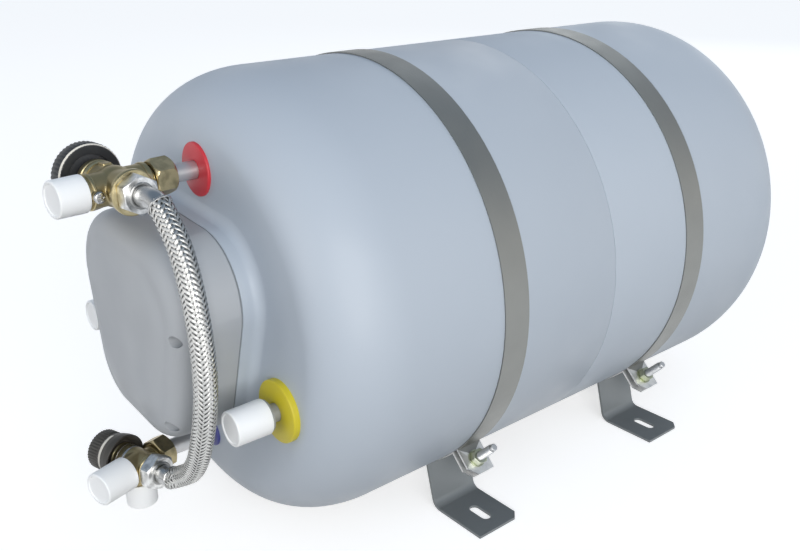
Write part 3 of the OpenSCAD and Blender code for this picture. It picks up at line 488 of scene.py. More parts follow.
class Grain(Enum):
    """The way a finish's fine lines run."""

    NONE = "none"
    ROUND_TANK = "round the tank's axis"


class Graph:
    """A material's nodes, and the few moves that the finishes share."""

    def __init__(self, name: str) -> None:
        """Starts a material with its shader and object coordinates.

        Args:
            name: The material's name.
        """
        self.material = bpy.data.materials.new(name)
        self.material.use_nodes = True
        self.nodes = self.material.node_tree.nodes
        self.shader = self.nodes["Principled BSDF"]
        self.place = self.node("ShaderNodeTexCoord").outputs["Object"]

    def node(self, kind: str, links: dict | None = None, **values: object) -> bpy.types.Node:
        """Adds a node.

        Args:
            kind: The node's type.
            links: Inputs by name or number, each with the socket or the value it gets.
            values: The node's own properties.

        Returns:
            The node.
        """
        made = self.nodes.new(kind)
        for key, value in values.items():
            setattr(made, key, value)
        for key, value in (links or {}).items():
            self.feed(made.inputs[key], value)
        return made

    def feed(self, entry: Socket, value: object) -> None:
        """Fills an input.

        Args:
            entry: The input.
            value: The socket that is linked to it, or the input's own value.
        """
        if isinstance(value, Socket):
            self.material.node_tree.links.new(value, entry)
        else:
            entry.default_value = value

    def noise(self, scale: float, detail: float = 2.0, place: Socket | None = None) -> Socket:
        """Soft noise, with its scale in features a metre."""
        return self.node("ShaderNodeTexNoise", {
            "Vector": place or self.place, "Scale": scale, "Detail": detail}).outputs["Fac"]

    def ramp(self, value: Socket, low: float, high: float, start: float = 0.0,
             end: float = 1.0) -> Socket:
        """Stretches the band from low to high over start to end, and clamps it there."""
        return self.node("ShaderNodeMapRange", {
            "Value": value, "From Min": low, "From Max": high, "To Min": start,
            "To Max": end}).outputs["Result"]

    def blend(self, share: Socket, first: object, second: object) -> Socket:
        """Mixes two colours.

        Args:
            share: The second colour's share.
            first: The first colour, or a socket with it.
            second: The second colour, or a socket with it.

        Returns:
            The mixed colour's socket.
        """
        mix = self.node("ShaderNodeMix", {"Factor": share}, data_type="RGBA")
        for entry, value in ((mix.inputs[6], first), (mix.inputs[7], second)):
            self.feed(entry, value if isinstance(value, Socket) else (*value, 1))
        return mix.outputs[2]

    def math(self, operation: str, first: object, second: object = 0.0) -> Socket:
        """One sum of two numbers."""
        return self.node("ShaderNodeMath", {0: first, 1: second},
                         operation=operation).outputs["Value"]

    def bump(self, height: Socket, depth: float, under: Socket | None = None) -> Socket:
        """Turns heights into relief.

        Args:
            height: The heights, from 0 to 1.
            depth: The relief's depth in metres.
            under: Another relief that this one is laid over.

        Returns:
            The normal's socket.
        """
        links = {"Height": height, "Strength": 1.0, "Distance": depth}
        if under:
            links["Normal"] = under
        return self.node("ShaderNodeBump", links).outputs["Normal"]

    def round_axis(self, axis_z: float) -> Socket:
        """Coordinates stretched so that noise on them draws fine lines round the tank.

        Args:
            axis_z: The height of the tank's axis in metres.

        Returns:
            The coordinates' socket.
        """
        parts = self.node("ShaderNodeSeparateXYZ", {0: self.place}).outputs
        height = self.math("SUBTRACT", parts["Z"], axis_z)
        angle = self.math("ARCTAN2", height, parts["X"])
        along = self.math("MULTIPLY", angle, 1.2)
        return self.node("ShaderNodeCombineXYZ", {
            "X": along, "Y": self.math("MULTIPLY", parts["Y"], 90.0)}).outputs["Vector"]


@dataclass(frozen=True)
class Finish:
    """A surface: its colour and gloss, and how far both wander over it."""

    name: str
    colour: Colour
    roughness: float
    metallic: float = 0.0
    drift: Colour | None = None
    drift_scale: float = 60.0
    drift_share: float = 0.6
    gloss_spread: float = 0.08
    gloss_scale: float = 40.0
    relief_scale: float = 600.0
    relief_depth: float = 0.00003
    wave_scale: float = 0.0
    wave_depth: float = 0.0
    grain: Grain = Grain.NONE
    # Edge colour: rubbed wear on brass and lugs, a painted highlight on the nickel hose nuts, and painted shade
    # between the braid's strands
    wear_and_painted_light_colour: Colour | None = None

    def material(self) -> bpy.types.Material:
        """The finish's material, made once."""
        return bpy.data.materials.get("look_" + self.name) or self.build()

    def build(self) -> bpy.types.Material:
        """Builds the material: drifting colour, wandering gloss, edge wear and painted light, and relief.

        Returns:
            The material.
        """
        graph = Graph("look_" + self.name)
        shader = graph.shader.inputs
        shader["Metallic"].default_value = self.metallic
        patches = graph.noise(self.drift_scale, 4.0)
        share = graph.ramp(patches, 0.35, 0.7, 0.0, self.drift_share)
        colour = graph.blend(share, self.colour, self.drift or self.colour)
        if self.wear_and_painted_light_colour:
            colour = self.add_wear_and_painted_light(graph, colour)
        graph.feed(shader["Base Color"], colour)
        gloss = graph.noise(self.gloss_scale, 3.0)
        low, high = self.roughness - self.gloss_spread, self.roughness + self.gloss_spread
        graph.feed(shader["Roughness"], graph.ramp(gloss, 0.3, 0.7, low, high))
        graph.feed(shader["Normal"], self.relief(graph))
        return graph.material

    def add_wear_and_painted_light(self, graph: Graph, colour: Socket) -> Socket:
        """Brightens the edges unevenly: where hands and spanners rub the brass and the lugs, and on the nickel
        hose nuts as a painted highlight that picks out the hexagon.

        Args:
            graph: The material's nodes.
            colour: The colour before wear and painted light.

        Returns:
            The socket of the colour with its wear and painted highlight.
        """
        point = graph.node("ShaderNodeNewGeometry").outputs["Pointiness"]
        # convex edges: rubbed wear, and on the nickel hose nuts a painted highlight
        edge = graph.ramp(point, 0.515, 0.56)
        uneven = graph.ramp(graph.noise(160.0, 3.0), 0.35, 0.6, 0.25, 1.0)
        return graph.blend(graph.math("MULTIPLY", edge, uneven), colour, self.wear_and_painted_light_colour)

    def relief(self, graph: Graph) -> Socket:
        """Stacks the finish's slow waves, its grain lines and its fine relief.

        Args:
            graph: The material's nodes.

        Returns:
            The normal's socket.
        """
        under = None
        if self.wave_depth:
            under = graph.bump(graph.noise(self.wave_scale, 2.0), self.wave_depth)
        if self.grain is Grain.ROUND_TANK:
            lines = graph.noise(14.0, 4.0, graph.round_axis(LINES.axis_z * MM))
            under = graph.bump(lines, 0.00012, under)
        return graph.bump(graph.noise(self.relief_scale, 3.0), self.relief_depth, under)


@dataclass(frozen=True)
class BraidFinish(Finish):
    """Bright braid wires, several side by side in each strand."""

    wires: float = 6.0

    @staticmethod
    def across(graph: Graph) -> Socket:
        """How far across its strand a point lies, from the piece's own strand map."""
        place = graph.node("ShaderNodeUVMap", uv_map="strand").outputs["UV"]
        return graph.node("ShaderNodeSeparateXYZ", {0: place}).outputs[0]

    def add_wear_and_painted_light(self, graph: Graph, colour: Socket) -> Socket:
        """Paints shade on each strand towards its edges, where it dips under its neighbours."""
        aside = graph.math("ABSOLUTE", graph.math("SUBTRACT", self.across(graph), 0.5))
        # painted shade: darker towards each strand's edges
        return graph.blend(graph.ramp(aside, 0.36, 0.5), colour, self.wear_and_painted_light_colour)

    def relief(self, graph: Graph) -> Socket:
        """The wires that lie side by side in each strand."""
        turn = graph.math("MULTIPLY", self.across(graph), self.wires * 2 * math.pi)
        return graph.bump(graph.ramp(graph.math("COSINE", turn), -1.0, 1.0), 0.00005)


LINES = Lines.read()

SHELL = Finish(
    "shell_satin", (0.475, 0.53, 0.60), 0.46, drift=(0.45, 0.505, 0.575), drift_scale=5.0,
    gloss_scale=18.0, relief_scale=900.0, relief_depth=0.00002, wave_scale=7.0, wave_depth=0.0006)
COVER = Finish(
    "cover_satin", (0.445, 0.465, 0.49), 0.5, drift=(0.42, 0.445, 0.475), drift_scale=9.0,
    gloss_scale=22.0, relief_scale=800.0, relief_depth=0.00004, wave_scale=12.0, wave_depth=0.0003)
SEAL = Finish("seal_rubber", (0.25, 0.27, 0.29), 0.7, relief_scale=500.0)
STRAP = Finish(
    "strap_stainless", (0.285, 0.288, 0.272), 0.42, 0.8, drift=(0.24, 0.245, 0.235),
    drift_scale=14.0, gloss_spread=0.05, grain=Grain.ROUND_TANK)
LUG = Finish(
    "lug_stainless", (0.56, 0.57, 0.58), 0.4, 0.7, drift=(0.48, 0.49, 0.50), drift_scale=40.0,
    gloss_spread=0.04, wear_and_painted_light_colour=(0.75, 0.75, 0.74))
FOOT = Finish(
    "foot_galvanised", (0.205, 0.222, 0.23), 0.38, 0.25, drift=(0.18, 0.198, 0.206),
    drift_scale=12.0, gloss_spread=0.03, gloss_scale=30.0, relief_scale=300.0, relief_depth=0.00002)
YELLOW_ZINC = Finish(
    "yellow_zinc", (0.40, 0.43, 0.29), 0.36, 0.9, drift=(0.46, 0.48, 0.42), gloss_spread=0.04)
STUD_ZINC = Finish(
    "stud_zinc", (0.58, 0.59, 0.60), 0.4, 0.8, drift=(0.48, 0.49, 0.50), gloss_spread=0.04)
CAST_BRASS = Finish(
    "cast_brass", (0.37, 0.305, 0.165), 0.38, 0.9, drift=(0.31, 0.26, 0.15), drift_scale=50.0,
    gloss_scale=120.0, relief_scale=700.0, relief_depth=0.0001,
    wear_and_painted_light_colour=(0.66, 0.51, 0.26))
NUT_BRASS = Finish(
    "nut_brass", (0.31, 0.26, 0.15), 0.34, 1.0, drift=(0.28, 0.24, 0.14), drift_scale=30.0,
    gloss_spread=0.02, gloss_scale=150.0, wear_and_painted_light_colour=(0.55, 0.46, 0.27))
TURNED_BRASS = Finish(
    "turned_brass", (0.43, 0.365, 0.21), 0.3, 1.0, drift=(0.37, 0.315, 0.18), drift_scale=70.0,
    gloss_spread=0.03, gloss_scale=200.0, wear_and_painted_light_colour=(0.70, 0.60, 0.36))
NICKEL = Finish(
    "nickel_plate", (0.50, 0.50, 0.495), 0.22, 1.0, drift=(0.43, 0.43, 0.425), gloss_spread=0.03,
    gloss_scale=160.0, relief_scale=300.0, relief_depth=0.00002)
# The nut's pale edge colour is a painted highlight that picks out the hexagon's edges
NUT_NICKEL = Finish(
    "nut_nickel", (0.33, 0.33, 0.322), 0.3, 1.0, drift=(0.29, 0.29, 0.282), gloss_spread=0.02,
    gloss_scale=160.0, wear_and_painted_light_colour=(0.85, 0.85, 0.84))
PIPE = Finish(
    "pipe_stainless", (0.60, 0.60, 0.605), 0.33, 0.75, drift=(0.55, 0.55, 0.56), drift_scale=30.0,
    gloss_spread=0.02)
STUB = Finish(
    "stub_steel", (0.34, 0.35, 0.365), 0.42, 0.3, drift=(0.30, 0.31, 0.325), drift_scale=30.0,
    gloss_spread=0.02)
WHITE_CAP = Finish(
    "cap_white", (0.94, 0.955, 0.965), 0.4, drift=(0.92, 0.935, 0.95), gloss_spread=0.04,
    relief_scale=900.0, relief_depth=0.00002)
RED = Finish("collar_red", (0.60, 0.036, 0.05), 0.42, drift=(0.56, 0.032, 0.044))
YELLOW = Finish("collar_yellow", (0.64, 0.54, 0.026), 0.42, drift=(0.60, 0.50, 0.024))
BLUE = Finish("collar_blue", (0.05, 0.055, 0.24), 0.42, drift=(0.045, 0.05, 0.21))
BLACK_GRIP = Finish(
    "grip_black", (0.022, 0.024, 0.028), 0.42, drift=(0.035, 0.037, 0.04), drift_scale=80.0,
    relief_scale=1500.0, relief_depth=0.00004)
BROWN_GRIP = Finish(
    "grip_brown", (0.040, 0.036, 0.030), 0.45, drift=(0.055, 0.05, 0.042), drift_scale=80.0,
    relief_scale=1500.0, relief_depth=0.00004)
# Cream: the mixer grip's pale line, and a painted highlight on the safety grip's skirt
CREAM = Finish("cream_line_and_painted_highlight", (0.80, 0.76, 0.68), 0.5, drift=(0.72, 0.68, 0.6), drift_scale=9.0)
GLAND = Finish(
    "gland_grey", (0.045, 0.048, 0.052), 0.45, drift=(0.06, 0.063, 0.068), drift_scale=9.0)
RUBBER = Finish("rubber_black", (0.02, 0.02, 0.02), 0.75, relief_scale=400.0)
INSULATOR = Finish("insulator", (0.74, 0.72, 0.66), 0.5, drift=(0.68, 0.66, 0.60), drift_scale=9.0)
BUTTON = Finish("button_red", (0.60, 0.03, 0.02), 0.4)
FOAM = Finish(
    "foam_cream", (0.72, 0.60, 0.36), 0.85, drift=(0.66, 0.53, 0.30), drift_scale=40.0,
    relief_scale=250.0, relief_depth=0.0006)
SPRING = Finish("spring_steel", (0.55, 0.56, 0.58), 0.3, 1.0)
HOSE_CORE = Finish("hose_core", (0.03, 0.032, 0.03), 0.6)
# The braid's dark edge colour is painted shade where each strand dips under its neighbours
BRAID = BraidFinish(
    "braid_wire", (0.60, 0.595, 0.575), 0.24, 1.0, drift=(0.50, 0.50, 0.485),
    wear_and_painted_light_colour=(0.08, 0.08, 0.076))

NODE_FINISHES = {
    "cover_seal": SEAL, "insulation": FOAM, "inner_tank": PIPE, "hot_pipe": PIPE,
    "cold_pipe": PIPE, "coil_stub_right": STUB, "coil_stub_left": STUB, "heat_exchanger": PIPE,
    "heating_element": TURNED_BRASS, "element_gasket": RUBBER, "thermowell": PIPE,
    "thermostat": INSULATOR, "reset_button": BUTTON, "terminal_block": INSULATOR,
    "gland_seal": RUBBER, "union_washers": RUBBER, "mixer_spindle": TURNED_BRASS,
    "knob_screw": NICKEL, "mixer_piston": TURNED_BRASS, "mixer_spring": SPRING,
    "safety_spindle": TURNED_BRASS, "safety_spring": SPRING, "check_poppet": INSULATOR,
}


def hand_over(obj: Piece, place: Matrix, finish: Finish, node: str,
              stands_for: bool = True, smooth: float = 35.0) -> None:
    """Places, dresses and hands over one finished piece.

    Args:
        obj: The piece, in millimetres in its local frame.
        place: That local frame's place, in millimetres.
        finish: What the piece is dressed in.
        node: The CAD node whose body it rides on.
        stands_for: Whether the piece replaces that node.
        smooth: The angle in degrees above which an edge stays sharp.
    """
    moved(obj, Matrix.Scale(MM, 4) @ place)
    only(obj)
    bpy.ops.object.shade_smooth_by_angle(angle=math.radians(smooth))
    obj.data.materials.append(finish.material())
    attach(obj, BODY_OF[node])
    if stands_for:
        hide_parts(node)
    log.info("%s rides on %s, %d faces", obj.name, BODY_OF[node], len(obj.data.polygons))


# Camera, light and floor

@dataclass(frozen=True)
class Lamp:
    """One large soft lamp, its side in metres and its power in watts."""

    name: str
    at: Point
    side: float
    power: float
    colour: Colour


@dataclass
class Studio:
    """The camera at the photograph's angle, soft light and a pale floor, in metres."""

    eye: Point = (0.6599, -0.6178, 0.5075)
    target: Point = (0.0, -0.0822, 0.1784)
    roll: float = -0.91
    lens: float = 41.02
    sensor: float = 36.0
    far_clip: float = 50.0
    lamps: tuple[Lamp, ...] = (
        Lamp("key", (3.0, -1.2, 1.0), side=2.0, power=62.0, colour=(1.0, 0.99, 0.97)),
        Lamp("fill", (0.6, -3.2, 1.0), side=2.2, power=19.0, colour=(1.0, 0.97, 0.94)),
        Lamp("back", (-1.2, 2.6, 1.6), side=2.0, power=9.0, colour=(0.93, 0.97, 1.0)))
    horizon: Colour = (1.0, 1.0, 1.0)
    overhead: Colour = (0.24, 0.31, 0.40)
    horizon_to: float = 0.06
    overhead_from: float = 0.75
    floor_size: float = 14.0
    floor_drop: float = 0.0002
    floor_seen: Colour = (0.64, 0.64, 0.64)
    floor_thrown: Colour = (0.09, 0.088, 0.085)
    floor_glow: float = 0.64

    def build(self) -> None:
        """Sets up the camera, the lamps, the world and the floor."""
        self.camera()
        self.world()
        for lamp in self.lamps:
            self.light(lamp)
        self.floor()
        bpy.context.scene.view_settings.view_transform = "Standard"

    def camera(self) -> None:
        """Puts the camera where the photograph was taken from."""
        bpy.ops.object.camera_add(location=self.eye)
        camera = bpy.context.active_object
        camera.name = "photo_camera"
        back = (Vector(self.eye) - Vector(self.target)).normalized()
        right = (-back).cross(Vector((0, 0, 1))).normalized()
        turn = Matrix((right, right.cross(-back), back)).transposed()
        camera.rotation_euler = (turn @ Matrix.Rotation(math.radians(self.roll), 3, "Z")).to_euler()
        camera.data.lens = self.lens
        camera.data.sensor_width = self.sensor
        camera.data.clip_end = self.far_clip
        bpy.context.scene.camera = camera

    def light(self, lamp: Lamp) -> None:
        """Adds one lamp, which faces the heater.

        Args:
            lamp: The lamp.
        """
        bpy.ops.object.light_add(type="AREA", location=lamp.at)
        light = bpy.context.active_object
        light.name = lamp.name
        light.data.size = lamp.side
        light.data.energy = lamp.power
        light.data.color = lamp.colour
        ahead = Vector(self.target) - Vector(lamp.at)
        light.rotation_euler = ahead.to_track_quat("-Z", "Y").to_euler()

    def world(self) -> None:
        """White near the horizon and a softer blue-grey overhead."""
        world = bpy.data.worlds.new("sky")
        world.use_nodes = True
        bpy.context.scene.world = world
        nodes, links = world.node_tree.nodes, world.node_tree.links
        place = nodes.new("ShaderNodeTexCoord")
        parts = nodes.new("ShaderNodeSeparateXYZ")
        ramp = nodes.new("ShaderNodeValToRGB")
        links.new(place.outputs["Generated"], parts.inputs[0])
        links.new(parts.outputs["Z"], ramp.inputs["Fac"])
        stops = ramp.color_ramp.elements
        stops[0].position, stops[0].color = self.horizon_to, (*self.horizon, 1)
        stops[1].position, stops[1].color = self.overhead_from, (*self.overhead, 1)
        links.new(ramp.outputs["Color"], nodes["Background"].inputs["Color"])
        nodes["Background"].inputs["Strength"].default_value = 1.0

    def floor(self) -> None:
        """Lays a floor that looks white, keeps the heater's shadow and throws little light up."""
        bpy.ops.mesh.primitive_plane_add(size=self.floor_size, location=(0, 0, -self.floor_drop))
        floor = bpy.context.active_object
        floor.name = "floor"
        graph = Graph("floor_pale")
        rays = graph.node("ShaderNodeLightPath").outputs
        seen = graph.math("MAXIMUM", rays["Is Camera Ray"], graph.math(
            "MAXIMUM", rays["Is Glossy Ray"], rays["Is Transmission Ray"]))
        shader = graph.shader.inputs
        shader["Roughness"].default_value = 0.9
        shader["Specular IOR Level"].default_value = 0.0
        shader["Emission Color"].default_value = (1.0, 1.0, 1.0, 1)
        graph.feed(shader["Emission Strength"], graph.math("MULTIPLY", seen, self.floor_glow))
        graph.feed(shader["Base Color"], graph.blend(seen, self.floor_thrown, self.floor_seen))
        floor.data.materials.append(graph.material)


# The shell, the cover and what stands on the front face

def cover_outline(step: float = 6.0) -> Outline:
    """The cover's outline: two upper and two lower corners, and the lines that touch them.

    Args:
        step: The stretch of an arc between two points, in degrees.

    Returns:
        The outline's points in the tank's frame, anticlockwise.
    """
    corners = ((38, 36, 54), (-38, 36, 54), (-28, -42, 46), (28, -42, 46))
    normals = []
    for (x, y, radius), (next_x, next_y, next_radius) in zip(corners, corners[1:] + corners[:1]):
        gap = math.hypot(next_x - x, next_y - y)
        heading = math.atan2(next_y - y, next_x - x)
        normals.append(heading - math.acos((radius - next_radius) / gap))
    points = []
    for index, (x, y, radius) in enumerate(corners):
        start = normals[index - 1]
        turn = (normals[index] - start) % (2 * math.pi)
        count = max(1, round(math.degrees(turn) / step))
        for stop in range(count + 1):
            angle = start + turn * stop / count
            points.append((x + radius * math.cos(angle), y + radius * math.sin(angle)))
    return points


def pan_head(name: str, radius: float, height: float, slot: float) -> Piece:
    """A low round screw head with a cross recess, along z.

    Args:
        name: The new object's name.
        radius: The head's radius.
        height: Its height.
        slot: The width of the recess.

    Returns:
        The head.
    """
    deep = height * 0.6
    head = turned(name, [(0, -0.5), (radius, -0.5), (radius, height, deep), (0, height + 0.2)],
                  sides=40, steps=6)
    for size in ((radius * 1.3, slot, deep), (slot, radius * 1.3, deep)):
        cut(head, block("recess", size, (0, 0, height + 0.2 - deep / 2)))
    return head


@dataclass
class Casing:
    """The shell halves, the base and the cover on the front face."""

    wall: float = 3.0
    corner_in: float = 48.0
    corner_deep: float = 69.0
    seam_round: float = 0.9
    seam_gap: float = 0.05
    base_fillet: float = 8.0
    cover_side: float = 36.0
    cover_edge: float = 18.0
    cover_draft: float = 2.0
    crown: tuple[Span, ...] = (
        (0.5, 23), (1.6, 27), (2.8, 31), (3.8, 36), (4.5, 42), (4.9, 50), (5.0, 60))
    half_width: float = 92.0
    wells: tuple[Span, ...] = ((80, 25), (59, -61), (-59, -61), (-80, 25))
    well_radius: float = 5.0
    well_floor: float = 3.0
    well_top: float = 40.0

    def build(self) -> None:
        """Builds both halves, the base, the cover and its screws."""
        place = LINES.tank()
        front = self.half("front_half", LINES.front)
        rear = self.half("rear_half", LINES.rear)
        front = joined("front_half", front, self.base())
        hand_over(front, place, SHELL, "front_shell", smooth=30)
        hand_over(rear, place, SHELL, "rear_shell", smooth=30)
        hand_over(self.cover(), place, COVER, "cover", smooth=30)
        hand_over(self.screws(), place, GLAND, "cover_screws")

    def half(self, name: str, end: float) -> Piece:
        """Turns one half of the shell, from its end face to the seam.

        Args:
            name: The half's name.
            end: Where its end face lies.

        Returns:
            The half.
        """
        way = math.copysign(1, end)
        radius = LINES.radius
        shoulder = end - way * self.corner_deep
        profile = [(0, end), (60, end), (110, end), (radius - self.corner_in - 12, end)]
        for step in range(25):
            angle = math.radians(90 - 90 * step / 24)
            profile.append((radius - self.corner_in + self.corner_in * math.cos(angle),
                            shoulder + way * self.corner_deep * math.sin(angle)))
        seam = LINES.seam + way * self.seam_gap
        profile += [(radius, seam + way * self.seam_round),
                    (radius - self.seam_round * 0.3, seam + way * self.seam_round * 0.3),
                    (radius - self.seam_round, seam), (radius - self.wall, seam),
                    (radius - self.wall, shoulder), (0, end - way * self.wall)]
        return turned(name, profile, sides=160)

    def base(self) -> Piece:
        """Raises the base, with a soft fillet where it leaves the front face.

        Returns:
            The base.
        """
        bottom = LINES.front
        levels = [(bottom - 0.6, self.base_fillet)]
        for step in range(9):
            angle = math.radians(90 * step / 8)
            levels.append((bottom + self.base_fillet * (1 - math.cos(angle)),
                           self.base_fillet * (1 - math.sin(angle))))
        top = bottom + BASE_HEIGHT
        levels += [(top - 0.8, 0), (top - 0.2, -0.2), (top, -0.8)]
        return lofted("base", cover_outline(), levels, self.half_width)

    def cover(self) -> Piece:
        """Raises the cover to its crowned front and sinks the screw wells.

        Returns:
            The cover.
        """
        bottom = LINES.front + BASE_HEIGHT + 1
        shoulder = bottom - 1 + self.cover_side
        levels = [(bottom, -0.9), (bottom + 0.3, -0.3), (bottom + 0.9, 0),
                  (shoulder, -self.cover_draft)]
        for step in range(1, 11):
            angle = math.radians(90 * step / 10)
            levels.append((shoulder + self.cover_edge * math.sin(angle),
                           -self.cover_draft - self.cover_edge * (1 - math.cos(angle))))
        top = shoulder + self.cover_edge
        levels += [(top + rise, -inset) for rise, inset in self.crown]
        cover = lofted("cover_shell", cover_outline(4.0), levels, self.half_width)
        for x, y in self.wells:
            well = bar("well", self.well_radius, shoulder + self.well_floor,
                       shoulder + self.well_top)
            cut(cover, moved(well, Matrix.Translation((x, y, 0))))
        return cover

    def screws(self) -> Piece:
        """One pan head in each well.

        Returns:
            The four heads.
        """
        seat = LINES.front + BASE_HEIGHT + self.cover_side + self.well_floor
        heads = [moved(pan_head("head", 4.0, 2.4, 0.9), Matrix.Translation((x, y, seat)))
                 for x, y in self.wells]
        return joined("cover_screw_heads", *heads)


@dataclass
class Ports:
    """The coloured collars on the front face and the caps on the exchanger's ends."""

    pipe: float = 7.65
    red: float = 22.0
    blue: float = 13.0
    yellow: float = 26.0
    height: float = 3.0
    yellow_height: float = 6.0
    cap_length: float = 30.0

    def build(self) -> None:
        """Builds the collars and both caps."""
        for node, finish, radius in (("red_collar", RED, self.red),
                                     ("blue_collar", BLUE, self.blue)):
            hand_over(self.collar(node, radius, self.height), LINES.port(node), finish, node)
        low, high = span("yellow_collars")
        tank_x = Matrix.Rotation(LINES.turn, 2) @ Vector((1, 0))
        reach = ((high.x - low.x) / 2 - self.yellow) / tank_x.x
        across = tank_x * reach
        centre = middle("yellow_collars")
        rings = []
        for side in (1, -1):
            ring = self.collar("ring", self.yellow, self.yellow_height)
            shift = (centre.x + side * across.x, -LINES.front, centre.z + side * across.y)
            rings.append(moved(ring, Matrix.Translation(shift) @ Z_TO_MINUS_Y))
        hand_over(joined("yellow_rings", *rings), Matrix.Identity(4), YELLOW, "yellow_collars")
        for node in ("coil_cap_right", "coil_cap_left"):
            stand = -span(node)[1].y - LINES.front
            hand_over(cap(node + "_white", CAP_RADIUS, self.cap_length),
                      LINES.port(node) @ Matrix.Translation((0, 0, stand)), WHITE_CAP, node)

    def collar(self, name: str, radius: float, height: float) -> Piece:
        """A round flange, slightly domed towards its pipe."""
        corners = [(self.pipe, -0.4), (radius, -0.4), (radius, height - 0.6, 1.1),
                   (self.pipe + 2.0, height, 2.0), (self.pipe, height, 0.3)]
        return turned(name + "_flange", corners, sides=96, steps=4)


def cap(name: str, radius: float, length: float) -> Piece:
    """A white push-on cap along z, open at its start and recessed at its end.

    Args:
        name: The new object's name.
        radius: Its outer radius.
        length: Its length.

    Returns:
        The cap.
    """
    inner, recess, roof = radius - 1.2, length - 0.9, length - 2.0
    return turned(name, [
        (inner, 0), (radius - 0.1, 0, 0.4), (radius, 3.0), (radius - 0.25, length, 1.3),
        (inner - 1.3, length, 0.7), (inner - 1.8, recess, 0.5), (0, recess), (0, roof),
        (inner, roof)], sides=80)


# The two valves on the water pipes

@dataclass(frozen=True)
class Rim:
    """A grip's rim along z, with rounded ribs and a dish in its upper face."""

    radius: float
    groove: float
    ribs: int
    start: float
    end: float
    dish: float
    dish_floor: float

    def build(self) -> Piece:
        """Raises the ribbed rim and sinks the dish.

        Returns:
            The rim, a closed disc.
        """
        points, stops = [], self.ribs * POINTS_PER_RIB
        for index in range(stops):
            angle = 2 * math.pi * index / stops
            reach = self.radius - self.groove * (0.5 - 0.5 * math.cos(self.ribs * angle)) ** 1.6
            points.append((reach * math.cos(angle), reach * math.sin(angle)))
        low, high = self.start, self.end
        levels = [(low, -1.2), (low + 0.4, -0.4), (low + 1.1, 0), (high - 1.1, 0),
                  (high - 0.4, -0.4), (high, -1.2)]
        rim = lofted("knob", points, levels, self.radius)
        return cut(rim, bar("dish", self.dish, self.dish_floor, high + 2.5))


def threaded(name: str, radius: float, pitch: float, start: float, turns: int,
             sides: int = 32) -> Piece:
    """A length of outer thread along z, round a solid core.

    Args:
        name: The new object's name.
        radius: The crests' radius.
        pitch: The rise of one turn.
        start: Where the thread begins.
        turns: How many turns it has.
        sides: How many steps go round.

    Returns:
        The thread with its core.
    """
    root = radius - THREAD_DEPTH * pitch
    tooth = [Vector((r, 0, start + share * pitch))
             for r, share in ((root, 0.0), (root, 0.1), (radius, 0.45), (radius, 0.58),
                              (root, 0.94), (root, 1.0))]
    thread = draw(name, tooth)
    modified(thread, "SCREW", steps=sides, render_steps=sides, screw_offset=pitch,
             iterations=turns, use_merge_vertices=True, merge_threshold=0.001)
    faced_out(thread)
    core = bar("core", root + 0.02, start - 0.5, start + (turns + 1) * pitch, sides)
    return joined(name, thread, core)


def hose_nut(name: str, start: float, end: float) -> Piece:
    """A nickel hexagon along z with a low turned face on the hose's side.

    Args:
        name: The new object's name.
        start: Its lower face.
        end: Its turned face, above which the hose's tail shows.

    Returns:
        The nut.
    """
    nut = hexagon(name, NUT_FLATS, start, end - 1.0, 8.4, chamfer=1.5)
    face = turned("face", [(8.1, end - 2.2), (10.4, end - 2.2), (10.0, end - 0.4, 0.3),
                           (9.2, end, 0.3), (8.1, end, 0.2)], steps=4)
    return joined(name, nut, face)


def on_tail(bend_from: float, turn: float, ahead: float = 0.0) -> Matrix:
    """A place on a hose tail, with z along the tail, in its valve's frame.

    Args:
        bend_from: Where the tail begins to bend, from the valve's middle.
        turn: How far it has bent there, in degrees, positive upwards.
        ahead: How far past that point the place lies.

    Returns:
        The place.
    """
    angle = math.radians(turn)
    reach = bend_from + TAIL_BEND * math.sin(abs(angle))
    rise = math.copysign(TAIL_BEND * (1 - math.cos(angle)), turn)
    return (Matrix.Translation((reach, 0, rise)) @ Matrix.Rotation(-angle, 4, "Y") @ Z_TO_X
            @ Matrix.Translation((0, 0, ahead)))


def hose_tail(name: str, start: float, bend_from: float, turn: float) -> Piece:
    """The bright bent end of the hose, up to the lip that holds the braid.

    Args:
        name: The new object's name.
        start: Where it leaves the nut, from the valve's middle.
        bend_from: Where it begins to bend.
        turn: How far it has bent at the lip, in degrees.

    Returns:
        The tail, in the valve's frame.
    """
    stops = [(on_tail(bend_from, 0.0, start - bend_from), TAIL_RADIUS)]
    stops += [(on_tail(bend_from, turn * step / 6), TAIL_RADIUS) for step in range(7)]
    stops += [(on_tail(bend_from, turn, ahead), radius) for ahead, radius in TAIL_LIP]
    sides = 48
    verts = []
    for place, radius in stops:
        for side in range(sides):
            angle = 2 * math.pi * side / sides
            verts.append(place @ Vector((radius * math.cos(angle), radius * math.sin(angle), 0)))
    last = len(verts) - sides
    faces = tube_faces(0, len(stops), sides)
    faces += [tuple(reversed(range(sides))), tuple(range(last, last + sides))]
    return faced_out(from_lists(name, verts, faces))


